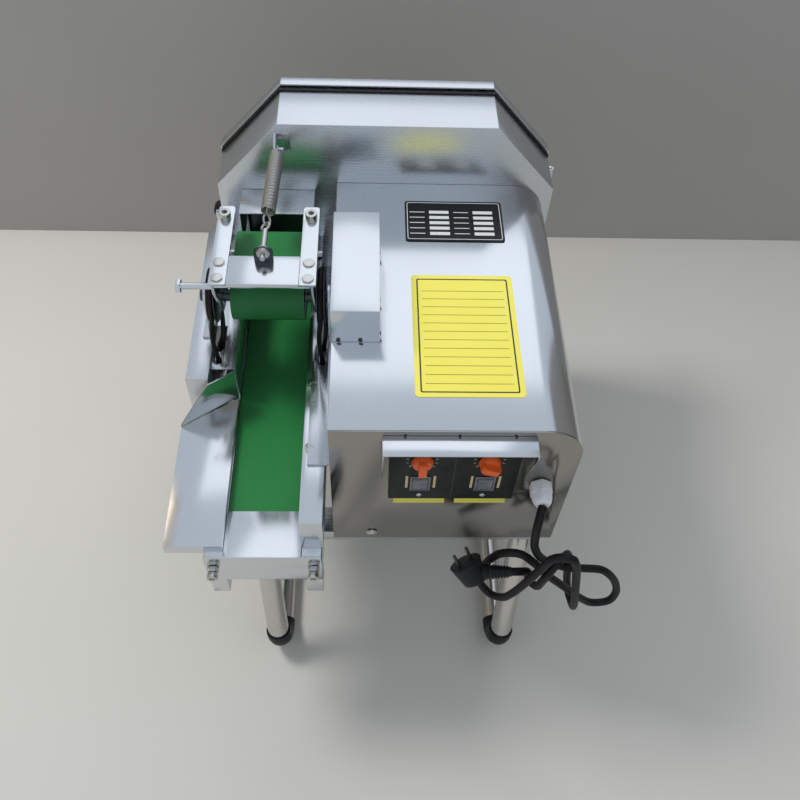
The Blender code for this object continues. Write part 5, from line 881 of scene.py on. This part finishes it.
def make_top_plates():
    """The blank nameplate and the blank film on the cabinet's top."""
    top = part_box("body_cover")[1][2] - ORIGIN.z
    x0, x1, y0, y1 = NAMEPLATE_PLACE
    plate = rounded_sheet("nameplate", x0, x1, y0, y1, top + LIFT, PLATE_THICKNESS, 0.0030)
    settle(plate, "nameplate", FINISH["black"], "machine")
    face = top + LIFT + PLATE_THICKNESS
    frame_line("nameplate_border", x0, x1, y0, y1, face, 0.0022, 0.0007, "ink")
    cells = []
    for column in CELL_COLUMNS:
        for row in range(CELL_ROWS):
            cell_x, cell_y = x0 + column, y0 + 0.0085 + row * CELL_STEP
            cells.append(raw_box((cell_x + 0.0130, cell_y, face - 0.0001),
                                 (cell_x + 0.0340, cell_y + 0.0046, face + 0.0001)))
            cells.append(raw_box((cell_x - 0.0080, cell_y + 0.0018, face - 0.0001),
                                 (cell_x + 0.0080, cell_y + 0.0028, face + 0.0001)))
    merge("nameplate_cells", cells, FINISH["ink"], "machine")
    x0, x1, y0, y1 = FILM_PLACE
    film = rounded_sheet("yellow_film", x0, x1, y0, y1, top + LIFT, LABEL_THICKNESS, 0.0040)
    settle(film, "yellow_film", FINISH["yellow"], "machine")
    face = top + LIFT + LABEL_THICKNESS
    frame_line("film_border", x0, x1, y0, y1, face, 0.0050, 0.0014, "dark_ink")
    rules = [raw_box((x0 + 0.0100, y0 + 0.0150 + row * RULE_STEP, face - 0.0001),
                     (x1 - 0.0100, y0 + 0.0155 + row * RULE_STEP, face + 0.00006))
             for row in range(RULES)]
    merge("film_ruling", rules, FINISH["dark_ink"], "machine")


def rounded_sheet(name, x0, x1, y0, y1, z, thickness, radius):
    """A thin sheet that lies flat, with round corners."""
    piece = raw_box((x0, y0, z), (x1, y1, z + thickness))
    bm = bmesh.new()
    bm.from_mesh(piece.data)
    upright = [e for e in bm.edges if abs(e.verts[0].co.z - e.verts[1].co.z) > thickness * 0.5]
    bmesh.ops.bevel(bm, geom=upright, offset=radius, segments=6, affect="EDGES", profile=0.5)
    bm.to_mesh(piece.data)
    bm.free()
    piece.name = name
    return piece


def frame_line(name, x0, x1, y0, y1, z, margin, width, finish):
    """A thin printed line round a sheet, a little inside its edge."""
    outer = rounded_sheet(name, x0 + margin, x1 - margin, y0 + margin, y1 - margin, z, 0.00008, 0.0020)
    inner = rounded_sheet(
        "line_inside", x0 + margin + width, x1 - margin - width, y0 + margin + width, y1 - margin - width,
        z - 0.0005, 0.0015, 0.0014,
    )
    take_away(outer, inner)
    return settle(outer, name, FINISH[finish], "machine")


def take_away(piece, tool):
    """Cuts one solid out of another."""
    gap = piece.modifiers.new("cut", "BOOLEAN")
    gap.operation = "DIFFERENCE"
    gap.object = tool
    bpy.context.view_layer.objects.active = piece
    bpy.ops.object.modifier_apply(modifier=gap.name)
    bpy.data.objects.remove(tool)


def make_control_faces():
    """Each speed controller's front: a bezel round the rocker, the dial's ticks and the marks beside it."""
    low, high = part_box("control_panel")
    face = low[1] - ORIGIN.y
    for i in (1, 2):
        knob = centre_of(f"speed_knob_{i}") - ORIGIN
        rocker = centre_of(f"rocker_switch_{i}") - ORIGIN
        ticks = []
        for k in range(11):
            turn = radians(-130 + 26 * k)
            centre = Vector((knob.x + DIAL_REACH * sin(turn), face - 0.00006, knob.z + DIAL_REACH * cos(turn)))
            bpy.ops.mesh.primitive_cube_add(size=1, location=place(*centre))
            tick = bpy.context.object
            tick.scale = (0.0007, 0.00012, 0.0030 if k % 5 == 0 else 0.0020)
            tick.rotation_euler = (0, turn, 0)
            ticks.append(tick)
        merge(f"dial_ticks_{i}", ticks, FINISH["ink"], "machine")
        bars = [
            raw_box((rocker.x + dx - 0.0012, face - 0.00012, rocker.z - 0.0080),
                    (rocker.x + dx + 0.0012, face, rocker.z + 0.0135))
            for dx in SIDE_MARKS
        ]
        merge(f"side_marks_{i}", bars, FINISH["straw"], "machine")
        half_x, half_z = BEZEL_HALF
        bezel = raw_box((rocker.x - half_x, face - 0.0009, rocker.z - half_z),
                        (rocker.x + half_x, face - 0.00002, rocker.z + half_z), 0.0006)
        half_x, half_z = WINDOW_HALF
        window = raw_box((rocker.x - half_x, face - 0.01, rocker.z - half_z),
                         (rocker.x + half_x, face + 0.01, rocker.z + half_z))
        take_away(bezel, window)
        settle(bezel, f"rocker_bezel_{i}", FINISH["rocker"], "machine")
        screw_place = (knob.x, face - 0.0001, low[2] - ORIGIN.z + 0.0075)
        pan_screw(f"controller_screw_{i}", screw_place, (0, -1, 0), 0.0028, 0.0014)
    seam_x = (low[0] + high[0]) / 2 - ORIGIN.x
    z0, z1 = low[2], high[2]
    seam = raw_box((seam_x - 0.0006, face - 0.0003, z0), (seam_x + 0.0006, face, z1))
    settle(seam, "controller_seam", FINISH["dark_ink"], "machine")
    for i, (x0, x1) in enumerate(STRIP_SPANS):
        strip = raw_box((x0, -STRIP_THICKNESS, STRIP_LOW), (x1, 0.0, STRIP_HIGH), 0.0001)
        settle(strip, f"yellow_strip_{i + 1}", FINISH["yellow"], "machine")


def make_screws():
    """The pan-head screws on the front panel and the side rail."""
    pan_screw("front_panel_screw", (FRONT_SCREW[0], -LIFT, FRONT_SCREW[1]), (0, -1, 0), 0.0040, 0.0022, washer=0.0056)
    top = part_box("side_rail")[1][2] - ORIGIN.z
    for i, (x, y) in enumerate(RAIL_SCREWS):
        pan_screw(f"rail_screw_{i + 1}", (x, y, top), (0, 0, 1), 0.0050, 0.0028, washer=0.0072)


def rounded_route(corners, radius, steps=10):
    """The corners joined by straight runs, each inner corner turned by an arc."""
    points = [corners[0]]
    for before, corner, after in zip(corners, corners[1:], corners[2:]):
        a, b = (before - corner).normalized(), (after - corner).normalized()
        half = a.angle(b) / 2
        reach = radius / (sin(half) / cos(half))
        start, end = corner + a * reach, corner + b * reach
        centre = corner + (a + b).normalized() * (radius / sin(half))
        for i in range(steps + 1):
            chord = (start - centre).lerp(end - centre, i / steps)
            points.append(centre + chord.normalized() * radius)
    points.append(corners[-1])
    return points


def make_legs():
    """Two sled legs of bent tube, leaning in a little towards the floor, with black sleeves on their bends."""
    front_bar, rear_bar = centre_of("cross_bar_front") - ORIGIN, centre_of("cross_bar_rear") - ORIGIN
    bar_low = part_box("cross_bar_front")[0][2]
    under = LEG_RADIUS + SLEEVE_THICKNESS
    for side, lean in (("left", -LEG_LEAN), ("right", LEG_LEAN)):
        low, high = (Vector(corner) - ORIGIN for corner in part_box(f"leg_{side}"))
        x = (low.x + high.x) / 2
        top_x, floor_x = x + lean, x - lean
        front, back = low.y + LEG_RADIUS * 0.36, high.y - LEG_RADIUS * 0.40
        corners = [
            place(top_x, front_bar.y, high.z), place(top_x, front_bar.y, bar_low - 0.006),
            place(floor_x, front - 0.0100, under), place(floor_x, back, under),
            place(top_x, rear_bar.y, bar_low - 0.006), place(top_x, rear_bar.y, high.z),
        ]
        route = rounded_route(corners, LEG_CORNER)
        tube = wire_mesh(f"leg_tube_{side}", route, LEG_RADIUS, "steel_tube", resolution=8)
        settle(tube, f"leg_tube_{side}", FINISH["steel_tube"], "machine")
        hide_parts(f"leg_{side}")
        for end, arc in (("front", route[13:23]), ("back", route[23:33])):
            into, out = (arc[1] - arc[0]).normalized(), (arc[-1] - arc[-2]).normalized()
            line = [arc[0] - into * 0.001, *arc, arc[-1] + out * 0.001]
            sleeve = wire_mesh(f"leg_sleeve_{side}_{end}", line, LEG_RADIUS + SLEEVE_THICKNESS, "rubber", resolution=8)
            round_edges(sleeve, 0.0008, 2, 50)
            settle(sleeve, f"leg_sleeve_{side}_{end}", FINISH["rubber"], "machine")


def make_drive_cover_screws():
    """Small dark screws along the foot of the drive cover and along the top of the control hood."""
    low, high = (Vector(corner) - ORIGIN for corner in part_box("drive_cover"))
    small = {"radius": 0.0023, "height": 0.0012, "finish": "dark_steel"}
    for i, x in enumerate(COVER_FRONT_SCREWS):
        pan_screw(f"cover_front_screw_{i + 1}", (x, low.y, low.z + 0.0030), (0, -1, 0), **small)
    for i, y in enumerate(COVER_SIDE_SCREWS):
        pan_screw(f"cover_side_screw_{i + 1}", (high.x, y, low.z + 0.0060), (1, 0, 0), **small)
    hood_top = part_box("control_hood")[1][2] - ORIGIN.z
    for i, x in enumerate(HOOD_SCREWS):
        pan_screw(f"hood_screw_{i + 1}", (x, -0.0016, hood_top + 0.0004), (0, -0.5, 1), 0.0012, 0.0008,
                  finish="dark_steel")


# Finish of each CAD node, and how wide its edges are rounded
NODE_FINISH = {
    ("steel_x", 0.0005): ["housing_lid", "cutter_housing", "cross_bar_front", "cross_bar_rear", "mouth_hood"],
    ("steel_y", 0.0005): ["drive_guard", "side_shelf", "belt_bed", "base_plate"],
    ("steel_top", 0.0006): ["body_cover"],
    ("steel_top", 0.0010): ["drive_cover"],
    # the front panel takes the darker steel, whose colour is painted shade
    ("steel_front", 0.0005): ["front_panel"],
    ("steel_top", 0.0005): ["front_cover", "control_hood", "side_rail", "conveyor_side_left", "conveyor_side_right"],
    ("steel_mirror", 0.0004): ["guide_plate"],
    ("steel_z", 0.0004): ["rail_bracket", "pivot_bracket_left", "spring_anchor", "lid_hinge_1", "lid_hinge_2",
                          "cutter_bearing"],
    ("steel_bright", 0.0003): ["tension_bolt_left", "tension_bolt_right", "feed_shaft", "idler_shaft"],
    ("steel_bright", 0.0): ["feed_chain", "cutter_shaft", "press_rear_roller", "blade_1", "blade_2",
                            "drive_roller", "front_roller"],
    ("dark_steel", 0.0003): ["press_front_roller", "blade_disc"],
    ("belt", 0.0): ["conveyor_belt", "press_belt"],
    ("rubber", 0.0): ["crossed_belt_left", "crossed_belt_right"],
    ("black", 0.0006): ["control_panel", "lid_hand_screw"],
    ("orange", 0.0008): ["speed_knob_1"],
    ("rocker", 0.0005): ["rocker_switch_1", "rocker_switch_2"],
    ("paint", 0.0008): ["cutter_motor", "feed_gearmotor"],
}


def finish_nodes():
    """Dresses each remaining node in its finish."""
    for (finish, edge), nodes in NODE_FINISH.items():
        for node in nodes:
            dress(node, finish, edge)


def make_turned_knob():
    """The second speed knob, set to another speed than the first."""
    low, high = (Vector(corner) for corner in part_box("speed_knob_2"))
    radius = (high.x - low.x) / 2
    axis = Vector((low.x + radius, 0, high.z - radius))
    knob = solid_copy("speed_knob_2")
    turn = Matrix.Translation(axis) @ Matrix.Rotation(radians(KNOB_TURN), 4, "Y") @ Matrix.Translation(-axis)
    knob.data.transform(turn)
    round_edges(knob, 0.0008, 2)
    settle(knob, "speed_knob_2_turned", FINISH["orange"], body_of("speed_knob_2"))
    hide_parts("speed_knob_2")


def make_feed_table():
    """The feed table, with the deep flange along its front edge."""
    low, high = (Vector(corner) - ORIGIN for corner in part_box("feed_table"))
    table = solid_copy("feed_table")
    edge = low.y + TABLE_SHORTER
    take_away(table, raw_box((low.x - 0.01, low.y - 0.01, low.z - 0.02), (high.x + 0.01, edge, high.z + 0.02)))
    flange = raw_box((low.x, edge, low.z - 0.0035), (high.x, edge + 0.0016, high.z - 0.0001))
    join_solid(table, flange)
    round_edges(table, 0.0006, 2, 28)
    settle(table, "feed_table_sheet", FINISH["steel_top"], "machine")
    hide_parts("feed_table")


def make_stage():
    """A pale floor and wall, soft lamps and a plain world."""
    for name, size, location, turn, colour in (
        ("floor", SHEET_SIZE, (0, 0, -0.0003), (0, 0, 0), (0.60, 0.57, 0.51)),
        ("wall", SHEET_SIZE, (0, WALL_PLACE, WALL_TOP - SHEET_SIZE / 2), (pi / 2, 0, 0), (0.37, 0.35, 0.32)),
    ):
        bpy.ops.mesh.primitive_plane_add(size=size, location=location, rotation=turn)
        sheet = bpy.context.object
        sheet.name = name
        material = new_material(f"{name}_paint", colour, 0.75)
        tint(material, noise_of(material, 3.0), [c * 0.98 for c in colour], [c * 1.02 for c in colour])
        sheet.data.materials.append(material)
    for name, x, colour in (("dark_card", 1.25, (0.24, 0.22, 0.20)), ("warm_card", -1.25, (0.62, 0.50, 0.39))):
        bpy.ops.mesh.primitive_plane_add(size=2.2, location=(x, -0.4, 1.10), rotation=(0, pi / 2, 0))
        card = bpy.context.object
        card.name = name
        card.visible_camera = card.visible_diffuse = card.visible_shadow = False
        paper = new_material(f"{name}_paper", colour, 0.9)
        tint(paper, noise_of(paper, 2.0), [c * 0.95 for c in colour], [c * 1.05 for c in colour])
        card.data.materials.append(paper)
    aim = Vector((0, 0, 0.3))
    for name, power, size, location, mirrored in (
        ("key_lamp", 24, 0.5, (-1.1, 0.35, 1.9), False),
        ("top_lamp", 4.2, 1.6, (0.1, 1.30, 1.9), True),
    ):
        data = bpy.data.lights.new(name, "AREA")
        data.energy = power
        data.size = size
        lamp = bpy.data.objects.new(name, data)
        lamp.location = location
        lamp.visible_glossy = mirrored
        lamp.rotation_mode = "QUATERNION"
        lamp.rotation_quaternion = (aim - Vector(location)).to_track_quat("-Z", "Y")
        bpy.context.scene.collection.objects.link(lamp)
    world = bpy.data.worlds.new("room")
    bpy.context.scene.world = world
    world.use_nodes = True
    background = world.node_tree.nodes["Background"]
    background.inputs["Color"].default_value = (0.84, 0.92, 1.04, 1)
    background.inputs["Strength"].default_value = 0.66
    bpy.context.scene.view_settings.view_transform = "Standard"


add_camera()
FINISH = make_materials()
CHANNEL_X = centre_of("press_cross_plate").x - ORIGIN.x
make_cord()
make_spring()
make_press_frame()
make_legs()
make_gland()
make_housing_black_band()
make_turned_knob()
make_feed_table()
make_top_plates()
make_control_faces()
make_screws()
make_drive_cover_screws()
finish_nodes()
make_stage()
